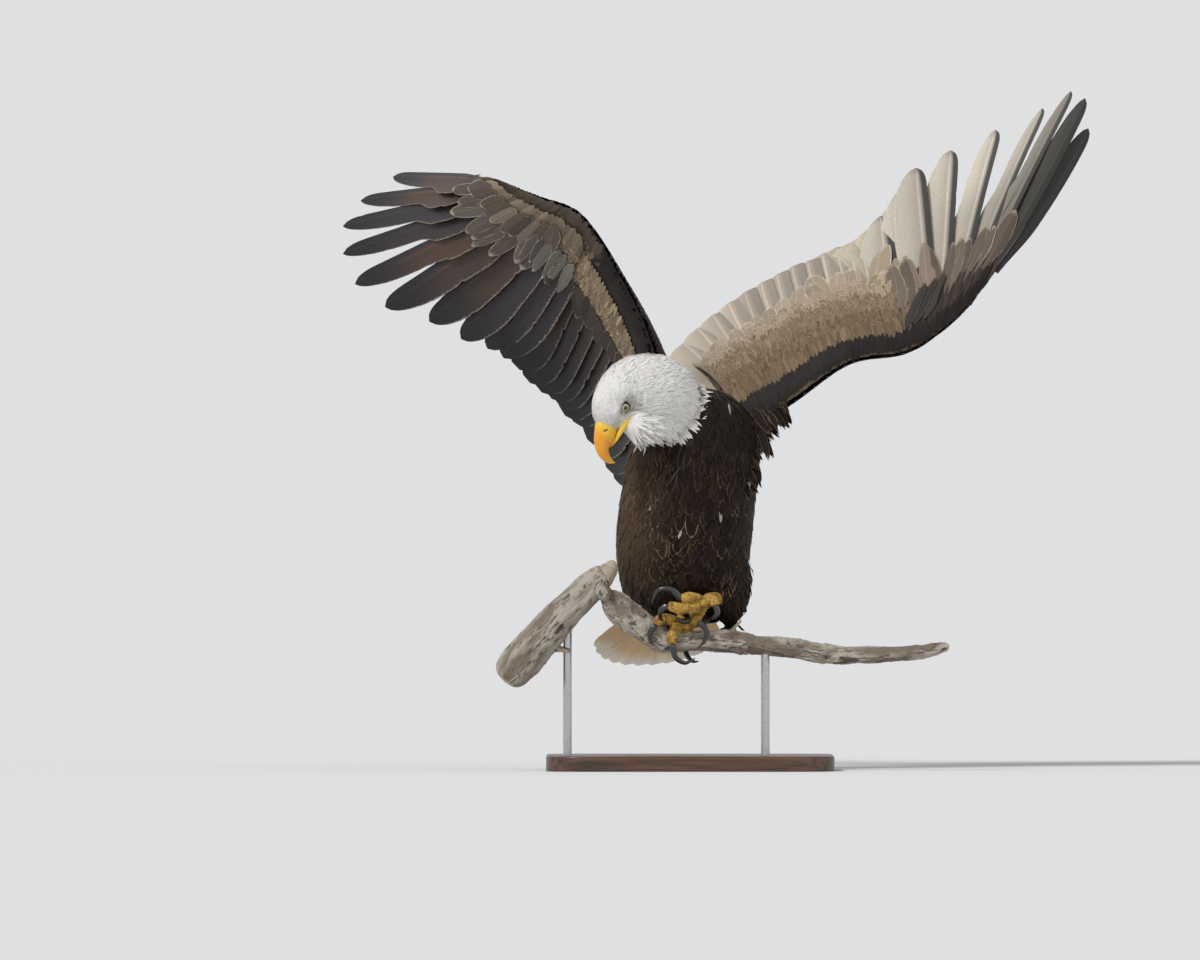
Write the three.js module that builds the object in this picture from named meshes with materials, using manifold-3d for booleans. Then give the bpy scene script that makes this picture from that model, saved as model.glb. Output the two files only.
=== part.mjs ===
// A life-size bald eagle (Haliaeetus leucocephalus), adult, wings raised and half swept back, looking down
// over its right side. One foot grips a cut length of dead branch and the other hovers over it. The branch
// stands on two short rods on a flat base.
// Millimetres, +Z up. -Y is the front, +X is the bird's left, and the origin is the middle of the underside
// of the base.
import * as THREE from "three";
import { mergeVertices } from "three/addons/utils/BufferGeometryUtils.js";
import Module from "manifold-3d";

const wasm = await Module();
wasm.setup();

// ---- driving dimensions ----
const GAP = 0.5; // left between neighbouring solids
const BODY_YAW = 18; // degrees that the breast turns towards the bird's left
const TRUNK_HALF_WIDTH = 110;
const TRUNK_HALF_DEPTH = 100;
const TAIL_LENGTH = 262;
const TAIL_FEATHERS = 12;
const TAIL_FAN = 27; // degrees from the middle to the outermost tail feather
const TAIL_ROOT_HALF_WIDTH = 14;
const PRIMARIES = 10;
const FINGERS = 7; // outer primaries that stand apart at their tips
const SECONDARIES = 14; // with the tertials
const VANE = 3; // thickness of a sheet of flight feathers at its root
const VANE_TIP = 1.4;
const EYE_RADIUS = 9.5;
const PERCH_Y = -60; // the branch runs in front of the bird's middle
const BASE = { length: 460, width: 340, height: 24, corner: 60 };
const ROD_RADIUS = 7;

const COLOUR = {
  brown: 0x3a2c22,
  darkBrown: 0x1d1916,
  white: 0xe9e6df,
  bill: 0xe8a01c,
  iris: 0xd9cf8e,
  foot: 0xc99a34,
  claw: 0x18171a,
  bark: 0x8d8073,
  walnut: 0x4a3323,
  steel: 0x8d9094,
};

const degrees = THREE.MathUtils.degToRad;
const mix = THREE.MathUtils.lerp;
const ease = THREE.MathUtils.smoothstep;
const point = (x, y, z) => new THREE.Vector3(x, y, z);
const LEFT = point(Math.cos(degrees(BODY_YAW)), Math.sin(degrees(BODY_YAW)), 0);
const UP = point(0, 0, 1);

// ---- curves and closed bodies ----

/** A smooth curve through points given as [x, y, z]. */
function through(...points) {
  return new THREE.CatmullRomCurve3(points.map((p) => point(...p)), false, "catmullrom", 0.5);
}

/** A number that runs smoothly through values spread evenly over t = 0 to 1. */
function along(values, t) {
  const curve = new THREE.SplineCurve(values.map((v, i) => new THREE.Vector2(i, v)));
  return curve.getPoint(THREE.MathUtils.clamp(t, 0, 1)).y;
}

/** A three.js geometry as a manifold solid. */
function solidOf(geometry) {
  geometry.deleteAttribute("normal");
  geometry.deleteAttribute("uv");
  const merged = mergeVertices(geometry, 1e-4);
  return new wasm.Manifold(
    new wasm.Mesh({
      numProp: 3,
      vertProperties: new Float32Array(merged.attributes.position.array),
      triVerts: new Uint32Array(merged.index.array),
    }),
  );
}

/** A manifold solid as a three.js geometry. */
function geometryOf(solid) {
  const mesh = solid.getMesh();
  return new THREE.BufferGeometry()
    .setAttribute("position", new THREE.BufferAttribute(new Float32Array(mesh.vertProperties), 3))
    .setIndex(new THREE.BufferAttribute(new Uint32Array(mesh.triVerts), 1));
}

/** Moves every vertex of a geometry to where place(vertex) says, and makes a solid that faces out. */
function reshaped(geometry, place) {
  const position = geometry.attributes.position;
  const v = point(0, 0, 0);
  for (let i = 0; i < position.count; i++) {
    const to = place(v.fromBufferAttribute(position, i));
    position.setXYZ(i, to.x, to.y, to.z);
  }
  let solid = solidOf(geometry);
  if (solid.volume() < 0) {
    const index = geometry.index;
    for (let i = 0; i < index.count; i += 3) {
      const swap = index.getX(i + 1);
      index.setX(i + 1, index.getX(i + 2));
      index.setX(i + 2, swap);
    }
    solid = solidOf(geometry);
  }
  return solid;
}

/**
 * A closed body of soft rings. ringAt(t, angle) gives the point on the skin, for t = 0 to 1 along the body,
 * and centreAt(t) the middle of the ring.
 */
function ringed(sides, rings, centreAt, ringAt) {
  return reshaped(new THREE.CylinderGeometry(1, 1, 1, sides, rings), (v) => {
    const t = v.y + 0.5;
    const reach = Math.hypot(v.x, v.z);
    return reach < 1e-6 ? centreAt(t) : ringAt(t, Math.atan2(v.z, v.x));
  });
}

/** How far a body's end moves out as it grows. */
const endGrowth = (t, grow) => (t === 1 ? grow : t === 0 ? -grow : 0);

/** A body round a spine curve: half-widths along `across` and half-depths at right angles to it. */
function limb(spine, across, halfWidths, halfDepths, grow, sides = 16, rings = 10) {
  const centreAt = (t) => spine.getPoint(t).addScaledVector(spine.getTangent(t), endGrowth(t, grow));
  return ringed(sides, rings, centreAt, (t, angle) => {
    const tangent = spine.getTangent(t);
    const depth = point(0, 0, 0).crossVectors(tangent, across).normalize();
    const width = point(0, 0, 0).crossVectors(depth, tangent).normalize();
    return centreAt(t)
      .addScaledVector(width, Math.cos(angle) * (along(halfWidths, t) + grow))
      .addScaledVector(depth, Math.sin(angle) * (along(halfDepths, t) + grow));
  });
}

/** Joins solids into one. */
const joined = (solids) => solids.reduce((whole, s) => whole.add(s));

// ---- the parts in place: what comes first keeps its shape, and later solids are cut clear of it ----
const eagle = new THREE.Group();
const placed = [];

/** Adds make(0) as a named mesh, less what stands there already, and keeps make(GAP) to cut what follows. */
function add(name, colour, roughness, make) {
  const clearOfOthers = placed.reduce((rest, other) => rest.subtract(other), make(0));
  const whole = clearOfOthers
    .simplify(0.1)
    .decompose()
    .sort((a, b) => b.volume() - a.volume())[0];
  const material = new THREE.MeshStandardMaterial({ color: colour, roughness, metalness: 0 });
  const mesh = new THREE.Mesh(geometryOf(whole), material);
  mesh.name = name;
  eagle.add(mesh);
  placed.push(make(GAP));
}

// ---- display stand and branch ----

/** The flat base: a plate with large round corners. */
function standBase(grow) {
  const { length, width, height, corner } = BASE;
  const shape = new THREE.Shape();
  const halfLength = length / 2 + grow;
  const halfWidth = width / 2 + grow;
  shape.moveTo(-halfLength + corner, -halfWidth);
  shape.lineTo(halfLength - corner, -halfWidth);
  shape.absarc(halfLength - corner, -halfWidth + corner, corner, -Math.PI / 2, 0);
  shape.absarc(halfLength - corner, halfWidth - corner, corner, 0, Math.PI / 2);
  shape.absarc(-halfLength + corner, halfWidth - corner, corner, Math.PI / 2, Math.PI);
  shape.absarc(-halfLength + corner, -halfWidth + corner, corner, Math.PI, Math.PI * 1.5);
  const settings = { depth: height + grow, bevelEnabled: false, curveSegments: 5 };
  return solidOf(new THREE.ExtrudeGeometry(shape, settings));
}

const LIMB = through(
  [-296, PERCH_Y, 141], [-232, PERCH_Y, 219], [-156, PERCH_Y, 296], [-131, PERCH_Y, 318],
  [-121, PERCH_Y, 335],
);
const LIMB_RADII = [31, 28, 22, 15, 7];
const BRANCH = through(
  [-136, PERCH_Y, 284], [-108, PERCH_Y, 254], [-72, PERCH_Y, 228], [-40, PERCH_Y, 208],
  [16, PERCH_Y, 207], [76, PERCH_Y, 205], [112, PERCH_Y, 200], [176, PERCH_Y, 192],
  [238, PERCH_Y, 184], [304, PERCH_Y, 184], [360, PERCH_Y, 190], [414, PERCH_Y, 200],
);
const BRANCH_RADII = [22, 24, 22, 18, 15, 18, 15, 15, 14, 13.5, 12, 11];

/** A rough round length of wood: its radius swells and shrinks as dead bark does. */
function wood(spine, radii, lumps, grow, sides, rings) {
  const lump = (t, angle) =>
    1 + 0.05 * Math.sin(lumps * t + 2 * angle) + 0.04 * Math.sin(2.7 * lumps * t - angle);
  return ringed(sides, rings, (t) => spine.getPoint(t), (t, angle) => {
    const tangent = spine.getTangent(t);
    const width = Math.abs(tangent.y) > 0.9 ? point(1, 0, 0) : point(0, 1, 0);
    const depth = point(0, 0, 0).crossVectors(tangent, width).normalize();
    const radius = along(radii, t) * lump(t, angle) + grow;
    return spine.getPoint(t)
      .addScaledVector(depth, Math.cos(angle) * radius)
      .addScaledVector(width, Math.sin(angle) * radius);
  });
}

/** The limb with the stub of a twig under it. */
function perchLimb(grow) {
  const spur = through([-230, PERCH_Y, 200], [-212, PERCH_Y - 4, 196], [-192, PERCH_Y - 6, 191]);
  return joined([wood(LIMB, LIMB_RADII, 17, grow, 12, 8), wood(spur, [9, 6, 3], 5, grow, 6, 3)]);
}

/** The side branch, with a sawn stub at its front and a broken twig on top. */
function perchBranch(grow) {
  const stub = through([-26, PERCH_Y, 210], [-26, PERCH_Y - 14, 210], [-26, PERCH_Y - 30, 210]);
  const snag = through([58, PERCH_Y, 206], [66, PERCH_Y - 3, 226], [84, PERCH_Y - 8, 246]);
  return joined([
    wood(BRANCH, BRANCH_RADII, 31, grow, 8, 17),
    wood(stub, [15, 15, 14], 5, grow, 9, 2),
    wood(snag, [6, 4, 2], 5, grow, 6, 3),
  ]);
}

/** A steel rod from the base up into the wood above it. */
function rod(x, top, grow) {
  const height = top - BASE.height - GAP;
  const radius = ROD_RADIUS + grow;
  const geometry = new THREE.CylinderGeometry(radius, radius, height, 12).rotateX(Math.PI / 2);
  return solidOf(geometry.translate(x, PERCH_Y, BASE.height + GAP + height / 2));
}

add("stand_base", COLOUR.walnut, 0.45, standBase);
add("perch_limb", COLOUR.bark, 0.9, perchLimb);
add("perch_branch", COLOUR.bark, 0.9, perchBranch);
add("stand_rod_right", COLOUR.steel, 0.35, (grow) => rod(-196, 246, grow));
add("stand_rod_left", COLOUR.steel, 0.35, (grow) => rod(120, 198, grow));

// ---- head: its own frame, with its middle between the eyes, looking down over the bird's right side ----
const EYE_SIDE = 22; // from the head's middle to an eye's
const HEAD_CENTRE = point(-117, -126, 580);
const headForward = point(-0.405, -0.245, -0.877).normalize();
const headUp = point(-0.78, -0.411, 0.479);
headUp.addScaledVector(headForward, -headUp.dot(headForward)).normalize();
const headLeft = point(0, 0, 0).crossVectors(headUp, headForward);

/** A point of the head, given forward, to the left and up from its middle. */
function inHead(forward, left, up) {
  return HEAD_CENTRE.clone()
    .addScaledVector(headForward, forward)
    .addScaledVector(headLeft, left)
    .addScaledVector(headUp, up);
}

/** A body round a midline given as [forward, up] points in the head, with half-widths and half-heights. */
function headPiece(midline, halfWidths, halfHeights, grow, sides, rings) {
  const spine = new THREE.CatmullRomCurve3(midline.map(([f, u]) => point(f, 0, u)), false, "catmullrom", 0.5);
  const centreAt = (t) => {
    const c = spine.getPoint(t);
    return inHead(c.x, 0, c.z);
  };
  return ringed(sides, rings, centreAt, (t, angle) => {
    const c = spine.getPoint(t);
    const tangent = spine.getTangent(t);
    const side = Math.cos(angle) * (along(halfWidths, t) + grow);
    const rise = Math.sin(angle) * (along(halfHeights, t) + grow);
    return inHead(c.x - tangent.z * rise, side, c.z + tangent.x * rise);
  });
}

const UPPER_BILL = [[35, 2], [50, 0], [62, -3], [72, -8], [79, -17], [82, -28], [80, -38]];
const upperBill = (grow) =>
  headPiece(UPPER_BILL, [15, 14, 12, 10, 7, 4, 1], [18, 17, 14.5, 11, 8, 5, 1], grow, 10, 10);
const lowerBill = (grow) =>
  headPiece([[24, -15], [38, -17], [52, -18], [62, -18]], [13, 12, 9, 4], [4.5, 4.5, 4, 2.5], grow, 8, 4);
const eye = (side) => (grow) => {
  const ball = new THREE.SphereGeometry(EYE_RADIUS + grow, 10, 6);
  return reshaped(ball, (v) => v.clone().add(inHead(0, side * EYE_SIDE, 0)));
};
const skull = (grow) =>
  headPiece(
    [[-62, 4], [-50, 6], [-26, 8], [0, 6], [18, 4], [32, 1], [42, -1]],
    [26, 33, 35, 29, 25, 20, 14], [27, 32, 36, 38, 34, 25, 16], grow, 14, 9);

add("bill_upper", COLOUR.bill, 0.35, upperBill);
add("bill_lower", COLOUR.bill, 0.4, lowerBill);
add("eye_left", COLOUR.iris, 0.1, eye(1));
add("eye_right", COLOUR.iris, 0.1, eye(-1));
add("head", COLOUR.white, 0.8, skull);

// ---- neck, with the cheeks running into it and the full throat under it ----
const NECK = through(
  [-22, -34, 580], [-32, -60, 590], [-50, -82, 598], [-70, -99, 606], [-92, -112, 617], [-110, -121, 622],
);
const CHEEK = through([-58, -92, 603], [-76, -104, 606], [-92, -112, 608], [-108, -118, 606]);
const THROAT = through([-36, -74, 564], [-62, -102, 557], [-86, -122, 554], [-104, -130, 553]);
const neck = (grow) =>
  joined([
    limb(NECK, UP, [52, 62, 66, 66, 51, 32], [46, 53, 56, 54, 46, 29], grow, 14, 6),
    limb(CHEEK, UP, [61, 61, 56, 49], [52, 50, 48, 41], grow, 12, 4),
    limb(THROAT, UP, [38, 36, 30, 18], [38, 38, 32, 20], grow, 10, 3),
  ]);
add("neck", COLOUR.white, 0.8, neck);

// ---- legs and feet ----
const PALM_RADIUS = 14;

/** A toe: a tube through its joints, with swollen pads. */
const toe = (joints, grow) =>
  limb(through(...joints), point(0.3, 0.2, 1), [9, 8.5, 8, 6.5], [9, 8, 8, 6], grow, 5, 3);

const CLAW_RADII = [5.6, 4.6, 3.2, 0.8];

/** A claw: a sharp hook through its points. */
const claw = (hook, grow) =>
  limb(through(...hook), point(0.3, 0.9, 0.2), CLAW_RADII, CLAW_RADII, grow, 5, 4);

// The right foot grips the branch; the left one is held just above it, its toes half closed. A toe's joints
// run from the palm, and a claw's hook from the toe's end.
const FEET = {
  right: {
    shank: [[-34, 0, 262], [-28, -22, 248], [-14, -50, 234]],
    palm: [-8, -58, 230],
    toes: [
      [[-10, -60, 230], [-22, -78, 228], [-29, -88, 214], [-29, -89, 202]],
      [[-6, -60, 231], [4, -74, 238], [9, -84, 241], [13, -90, 238]],
      [[-12, -60, 232], [-30, -70, 240], [-46, -80, 242], [-56, -86, 234]],
      [[-8, -52, 230], [-8, -36, 226], [-8, -31, 214], [-8, -31, 204]],
    ],
    claws: [
      [[-29, -89, 199], [-24, -87, 182], [-8, -78, 172], [9, -70, 180]],
      [[15, -91, 236], [26, -92, 224], [23, -90, 208], [12, -86, 196]],
      [[-57, -86, 231], [-64, -87, 220], [-64, -84, 208], [-58, -82, 199]],
      [[-8, -32, 201], [-6, -36, 186], [3, -48, 175], [14, -60, 174]],
    ],
  },
  left: {
    shank: [[54, -8, 268], [42, -40, 274], [26, -74, 272]],
    palm: [20, -82, 268],
    toes: [
      [[16, -86, 272], [4, -96, 276], [-6, -102, 276], [-15, -105, 272]],
      [[14, -90, 264], [-2, -100, 260], [-20, -109, 260], [-36, -112, 265]],
      [[24, -86, 268], [32, -92, 273], [38, -96, 270], [40, -98, 263]],
      [[20, -78, 264], [16, -72, 254], [8, -74, 246], [2, -78, 242]],
    ],
    claws: [
      [[-17, -106, 273], [-29, -107, 289], [-51, -105, 288], [-63, -98, 264]],
      [[-38, -112, 264], [-47, -110, 256], [-48, -102, 245], [-42, -96, 238]],
      [[40, -98, 260], [43, -99, 252], [38, -95, 245], [31, -90, 242]],
      [[0, -79, 241], [-8, -84, 238], [-18, -92, 240], [-22, -98, 246]],
    ],
  },
};

/** The flattened ball of a foot. */
const palm = (place, grow) =>
  reshaped(new THREE.SphereGeometry(PALM_RADIUS + grow, 8, 5), (v) =>
    point(v.x, v.y, v.z * 0.8).add(point(...place)));

const foot = (spec) => (grow) =>
  joined([
    limb(through(...spec.shank), point(0, 1, 0.2), [15, 11, 11], [15, 10, 12], grow, 10, 4),
    palm(spec.palm, grow),
    ...spec.toes.map((joints) => toe(joints, grow)),
  ]);

for (const [side, spec] of Object.entries(FEET)) {
  spec.claws.forEach((hook, i) => {
    add(`claw_${side}_${i + 1}`, COLOUR.claw, 0.25, (grow) => claw(hook, grow));
  });
  add(`foot_${side}`, COLOUR.foot, 0.55, foot(spec));
}

// ---- trunk and thighs ----
const TRUNK = through(
  [-26, 58, 226], [-22, 50, 262], [-14, 36, 312], [-10, 22, 370], [-2, 6, 440], [8, -8, 510],
  [24, -12, 568], [32, -8, 612],
);
const WIDTH_SHARES = [0.42, 0.78, 0.97, 1.03, 1.02, 0.98, 0.8, 0.42];
const DEPTH_SHARES = [0.4, 0.74, 0.96, 1.03, 1.02, 0.96, 0.76, 0.4];
const TRUNK_WIDTHS = WIDTH_SHARES.map((share) => share * TRUNK_HALF_WIDTH);
const TRUNK_DEPTHS = DEPTH_SHARES.map((share) => share * TRUNK_HALF_DEPTH);
const trunk = (grow) => limb(TRUNK, LEFT, TRUNK_WIDTHS, TRUNK_DEPTHS, grow, 16, 11);
add("trunk", COLOUR.darkBrown, 0.8, trunk);

const thigh = (spine, widths) => (grow) => limb(spine, LEFT, widths, widths, grow, 10, 5);
const RIGHT_THIGH = through([-50, 6, 350], [-48, -14, 300], [-42, -22, 262], [-34, -26, 236]);
const LEFT_THIGH = through([50, 14, 350], [57, -6, 295], [62, -12, 256], [63, -12, 232]);
add("thigh_right", COLOUR.darkBrown, 0.8, thigh(RIGHT_THIGH, [44, 46, 32, 14]));
add("thigh_left", COLOUR.darkBrown, 0.8, thigh(LEFT_THIGH, [44, 44, 30, 10]));

// ---- wings ----
// Along a wing, s runs from 0 at the shoulder through WRIST to 1 at the tip of the hand. Across it, c runs
// from 0 at the leading edge to 1 at the feather tips. armTips go from the innermost feather to the wrist,
// and handTips from the innermost primary to the outermost.
const WRIST = 0.6;
const ELBOW = 0.3;
const BOW_FROM = 0.72; // station from which the primaries bend outwards
const WINGS = {
  left: {
    side: 1,
    leading: through(
      [92, -12, 545], [166, 12, 592], [255, 38, 652], [345, 72, 668], [408, 112, 705], [469, 185, 767],
    ),
    armTips: through(
      [-24, 330, 669], [45, 400, 735], [120, 400, 782], [190, 396, 818], [255, 384, 843], [300, 376, 874],
    ),
    handTips: through(
      [311, 375, 888], [341, 393, 918], [369, 430, 966], [460, 497, 1011], [574, 505, 1064],
      [634, 464, 1093], [646, 427, 1030],
    ),
    bow: 0.02,
  },
  right: {
    side: -1,
    leading: through(
      [-45, -50, 575], [-62, -52, 680], [-106, -50, 780], [-172, -48, 885], [-240, -4, 918],
      [-308, 46, 946],
    ),
    armTips: through(
      [-92, 300, 452], [-122, 307, 473], [-165, 300, 533], [-198, 283, 570], [-234, 250, 602],
      [-284, 211, 652],
    ),
    handTips: through(
      [-301, 192, 659], [-343, 214, 685], [-419, 260, 721], [-518, 325, 762], [-557, 380, 832],
      [-548, 401, 898], [-477, 381, 956],
    ),
    bow: 0.015,
  },
};
// Shared by both wings, from the shoulder to the tip of the hand.
const FLESH_CHORD = [0.62, 0.58, 0.5, 0.42, 0.3, 0.2]; // how far back flesh and small coverts reach
const FLESH_THICKNESS = [30, 24, 19, 16, 11, 5]; // half-thickness at its deepest
const CAMBER = [0.07, 0.06, 0.05, 0.04, 0.03, 0.02]; // rise of the wing's middle above its chord

/** The tip of the feather at s. */
const tipAt = (wing, s) =>
  s < WRIST ? wing.armTips.getPoint(s / WRIST) : wing.handTips.getPoint((s - WRIST) / (1 - WRIST));

/** The wing's own axes at s: the chord from leading edge to feather tip, and up off the wing's upper side. */
function wingAxes(wing, s) {
  const front = wing.leading.getPoint(s);
  const chord = tipAt(wing, s).sub(front);
  const step = 0.05;
  const middle = (at) => wing.leading.getPoint(at).lerp(tipAt(wing, at), 0.5);
  const out = middle(Math.min(1, s + step)).sub(middle(Math.max(0, s - step)));
  out.addScaledVector(chord, -out.dot(chord) / chord.lengthSq()).normalize();
  const upper = point(0, 0, 0).crossVectors(out, chord).multiplyScalar(wing.side).normalize();
  return { front, chord, out, upper };
}

/** A point on the wing's middle surface, with the axes there. */
function onWing(wing, s, c) {
  const axes = wingAxes(wing, s);
  const rise = along(CAMBER, s) * 4 * c * (1 - c) * axes.chord.length();
  const middle = axes.front.clone().addScaledVector(axes.chord, c).addScaledVector(axes.upper, rise);
  return { middle, ...axes };
}

/** Flesh and small coverts of the wing between two stations: thick at the front, thin behind. */
function wingFlesh(wing, from, to, grow, rings) {
  const centreAt = (t) => {
    const s = mix(from, to, t);
    const { middle, out } = onWing(wing, s, along(FLESH_CHORD, s) * 0.4);
    return middle.addScaledVector(out, endGrowth(t, grow));
  };
  return ringed(12, rings, centreAt, (t, angle) => {
    const s = mix(from, to, t);
    const x = (1 - Math.cos(angle)) / 2;
    const { middle, chord, out, upper } = onWing(wing, s, x * along(FLESH_CHORD, s));
    const hump = 2.6 * Math.sqrt(x) * (1 - x) * along(FLESH_THICKNESS, s) + 2.4 * Math.sqrt(x);
    const height = Math.sign(Math.sin(angle)) * hump + Math.sin(angle) * grow;
    return middle
      .addScaledVector(out, endGrowth(t, grow))
      .addScaledVector(chord.normalize(), -Math.cos(angle) * grow)
      .addScaledVector(upper, height);
  });
}

/**
 * A sheet of flight feathers between two stations, scalloped at its free edge. endAt(s, phase) says how far
 * back it reaches, with phase 0 between two feathers and 0.5 on a feather's middle.
 */
function flightSheet(wing, from, to, feathers, endAt, grow) {
  return reshaped(new THREE.BoxGeometry(1, 1, 1, 2 * feathers, 2, 1), (v) => {
    const share = v.x + 0.5;
    const s = mix(from, to, share);
    const phase = (share * feathers) % 1;
    const c = mix(along(FLESH_CHORD, s) * 0.8, endAt(s, phase), v.y + 0.5);
    const { middle, chord, out, upper } = onWing(wing, s, c);
    const half = mix(VANE, VANE_TIP, c) / 2;
    return middle
      .addScaledVector(chord.normalize(), v.y > 0.499 ? grow : 0)
      .addScaledVector(out, Math.abs(v.x) > 0.499 ? Math.sign(v.x) * grow : 0)
      .addScaledVector(upper, Math.sign(v.z) * (half + grow));
  });
}

/** The free end of one outer primary: a long blade with a round tip. */
function finger(wing, s, from, halfWidth, lift, grow) {
  return reshaped(new THREE.BoxGeometry(1, 1, 1, 4, 1, 1), (v) => {
    const c = mix(from, 1, Math.pow(v.x + 0.5, 0.7));
    const { middle, chord, out, upper } = onWing(wing, s, c);
    const taper = Math.sqrt(Math.max(0.04, 1 - Math.pow(Math.max(0, (c - 0.72) / 0.28), 2.4)));
    const across = Math.sign(v.y) * (halfWidth * taper + grow);
    const bow = wing.bow * ease(s, BOW_FROM, 1) * chord.length() * 4 * c * (1 - c);
    return middle
      .addScaledVector(out, across + bow)
      .addScaledVector(upper, lift + Math.sign(v.z) * (mix(VANE, VANE_TIP, c) / 2 + grow));
  });
}

/** The primaries: a common sheet near the hand, then separate fingers that overlap by turns. */
function primaries(wing, grow) {
  const firstFinger = mix(WRIST, 1, (PRIMARIES - FINGERS - 0.3) / (PRIMARIES - 1));
  const sheetEnd = (s) => mix(0.74, 0.5, ease(s, firstFinger, 0.95));
  const endAt = (s, phase) => (s < firstFinger ? 0.955 + 0.04 * Math.sin(Math.PI * phase) : sheetEnd(s));
  const pieces = [flightSheet(wing, WRIST, 1, PRIMARIES, endAt, grow)];
  for (let i = PRIMARIES - FINGERS; i < PRIMARIES; i++) {
    const outward = i / (PRIMARIES - 1);
    const s = mix(WRIST, 1, outward);
    pieces.push(finger(wing, s, sheetEnd(s) - 0.08, mix(21, 15, outward), i % 2 ? 1.6 : -1.6, grow));
  }
  return joined(pieces);
}

/** The secondaries and tertials as one scalloped sheet. */
function secondaries(wing, grow) {
  const endAt = (s, phase) => 0.965 + 0.03 * Math.sin(Math.PI * phase);
  return flightSheet(wing, 0.004, WRIST - 0.002, SECONDARIES, endAt, grow);
}

for (const [side, wing] of Object.entries(WINGS)) {
  add(`upper_arm_${side}`, COLOUR.brown, 0.8, (grow) => wingFlesh(wing, 0, ELBOW, grow, 4));
  add(`forearm_${side}`, COLOUR.brown, 0.8, (grow) => wingFlesh(wing, ELBOW, WRIST, grow, 4));
  add(`hand_${side}`, COLOUR.brown, 0.8, (grow) => wingFlesh(wing, WRIST, 1, grow, 6));
  add(`primaries_${side}`, COLOUR.darkBrown, 0.5, (grow) => primaries(wing, grow));
  add(`secondaries_${side}`, COLOUR.darkBrown, 0.5, (grow) => secondaries(wing, grow));
}

// ---- rump and tail ----
const RUMP = through([-8, 40, 290], [-12, 90, 268], [-22, 140, 240], [-34, 180, 222]);
add("rump", COLOUR.white, 0.8, (grow) => limb(RUMP, LEFT, [76, 66, 48, 34], [56, 42, 24, 9], grow, 12, 5));

const TAIL_ROOT = point(-18, 88, 296);
const TAIL_AXIS = point(-0.2, 0.84, -0.505).normalize();
const TAIL_UPPER = point(0, 0, 0).crossVectors(LEFT, TAIL_AXIS).normalize();

/** The half-spread fan of tail feathers, the middle pair longest, with a scalloped end. */
function tail(grow) {
  const out = point(0, 0, 0).crossVectors(TAIL_AXIS, TAIL_UPPER).normalize();
  return reshaped(new THREE.BoxGeometry(1, 1, 1, 2 * TAIL_FEATHERS, 2, 1), (v) => {
    const side = 2 * v.x;
    const phase = ((v.x + 0.5) * TAIL_FEATHERS) % 1;
    const back = TAIL_AXIS.clone().applyAxisAngle(TAIL_UPPER, -degrees(TAIL_FAN) * side);
    const end = TAIL_LENGTH * (mix(1, 0.72, side * side) + 0.02 * Math.sin(Math.PI * phase));
    const reach = mix(60, end, v.y + 0.5) + (v.y > 0.499 ? grow : 0);
    const arch = -9 * side * side;
    return TAIL_ROOT.clone()
      .addScaledVector(out, side * TAIL_ROOT_HALF_WIDTH + (Math.abs(v.x) > 0.499 ? Math.sign(v.x) * grow : 0))
      .addScaledVector(back, reach)
      .addScaledVector(TAIL_UPPER, arch + Math.sign(v.z) * (mix(5, 1.6, v.y + 0.5) / 2 + grow));
  });
}
add("tail", COLOUR.white, 0.6, tail);

export default eagle;
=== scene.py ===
"""A life-size bald eagle on a cut length of dead branch: its plumage, bill, eyes, feet, perch and stand."""

import logging
import math
from contextlib import contextmanager
from dataclasses import dataclass, field
from enum import Enum, IntEnum
from typing import Callable, Iterator, Sequence

import bmesh
import bpy
import numpy as np
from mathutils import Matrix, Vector, noise
from mathutils.bvhtree import BVHTree
from mathutils.kdtree import KDTree


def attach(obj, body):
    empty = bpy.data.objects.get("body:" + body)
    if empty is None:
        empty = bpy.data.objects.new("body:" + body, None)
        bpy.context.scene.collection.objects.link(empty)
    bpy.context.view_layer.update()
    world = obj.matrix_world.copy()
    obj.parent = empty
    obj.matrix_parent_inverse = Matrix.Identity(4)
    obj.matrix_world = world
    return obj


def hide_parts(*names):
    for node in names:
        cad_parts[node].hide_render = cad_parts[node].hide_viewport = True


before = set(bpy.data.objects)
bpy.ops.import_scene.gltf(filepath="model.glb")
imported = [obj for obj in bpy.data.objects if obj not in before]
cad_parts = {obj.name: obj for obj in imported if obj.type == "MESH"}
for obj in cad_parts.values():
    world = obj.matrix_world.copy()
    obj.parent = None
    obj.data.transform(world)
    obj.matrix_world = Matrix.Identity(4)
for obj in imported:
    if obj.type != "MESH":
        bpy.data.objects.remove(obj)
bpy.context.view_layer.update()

logging.basicConfig(level=logging.INFO, format="%(message)s")
LOG = logging.getLogger("eagle")

Array = np.ndarray
Colour = tuple[float, float, float]
Point = tuple[float, float, float]
Piece = bpy.types.Object
Material = bpy.types.Material
Place = Callable[[Array, Array], Array]
MM = 0.001
STEP = 1e-3  # step along a curve, as a share of it, for its direction
BAKE_MAP = "OFBake"
VANE_MAP = "vane"
TUFT_PATCH = 0.003  # width of one tuft on the bake map
BLACK = (0.0, 0.0, 0.0)
WHITE, DARK = "white_plumage", "dark_plumage"


# ---------------- arithmetic


def unit(v: Array) -> Array:
    """Vectors of length one along the last axis."""
    return v / np.maximum(np.linalg.norm(v, axis=-1, keepdims=True), 1e-12)


def smooth(x: Array, low: float, high: float) -> Array:
    """A soft step from 0 at low to 1 at high."""
    t = np.clip((np.asarray(x, float) - low) / (high - low), 0, 1)
    return t * t * (3 - 2 * t)


def mix(a: Array, b: Array, t: Array) -> Array:
    """A straight mix of a and b."""
    a, b = np.asarray(a, float), np.asarray(b, float)
    return a + (b - a) * t


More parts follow.
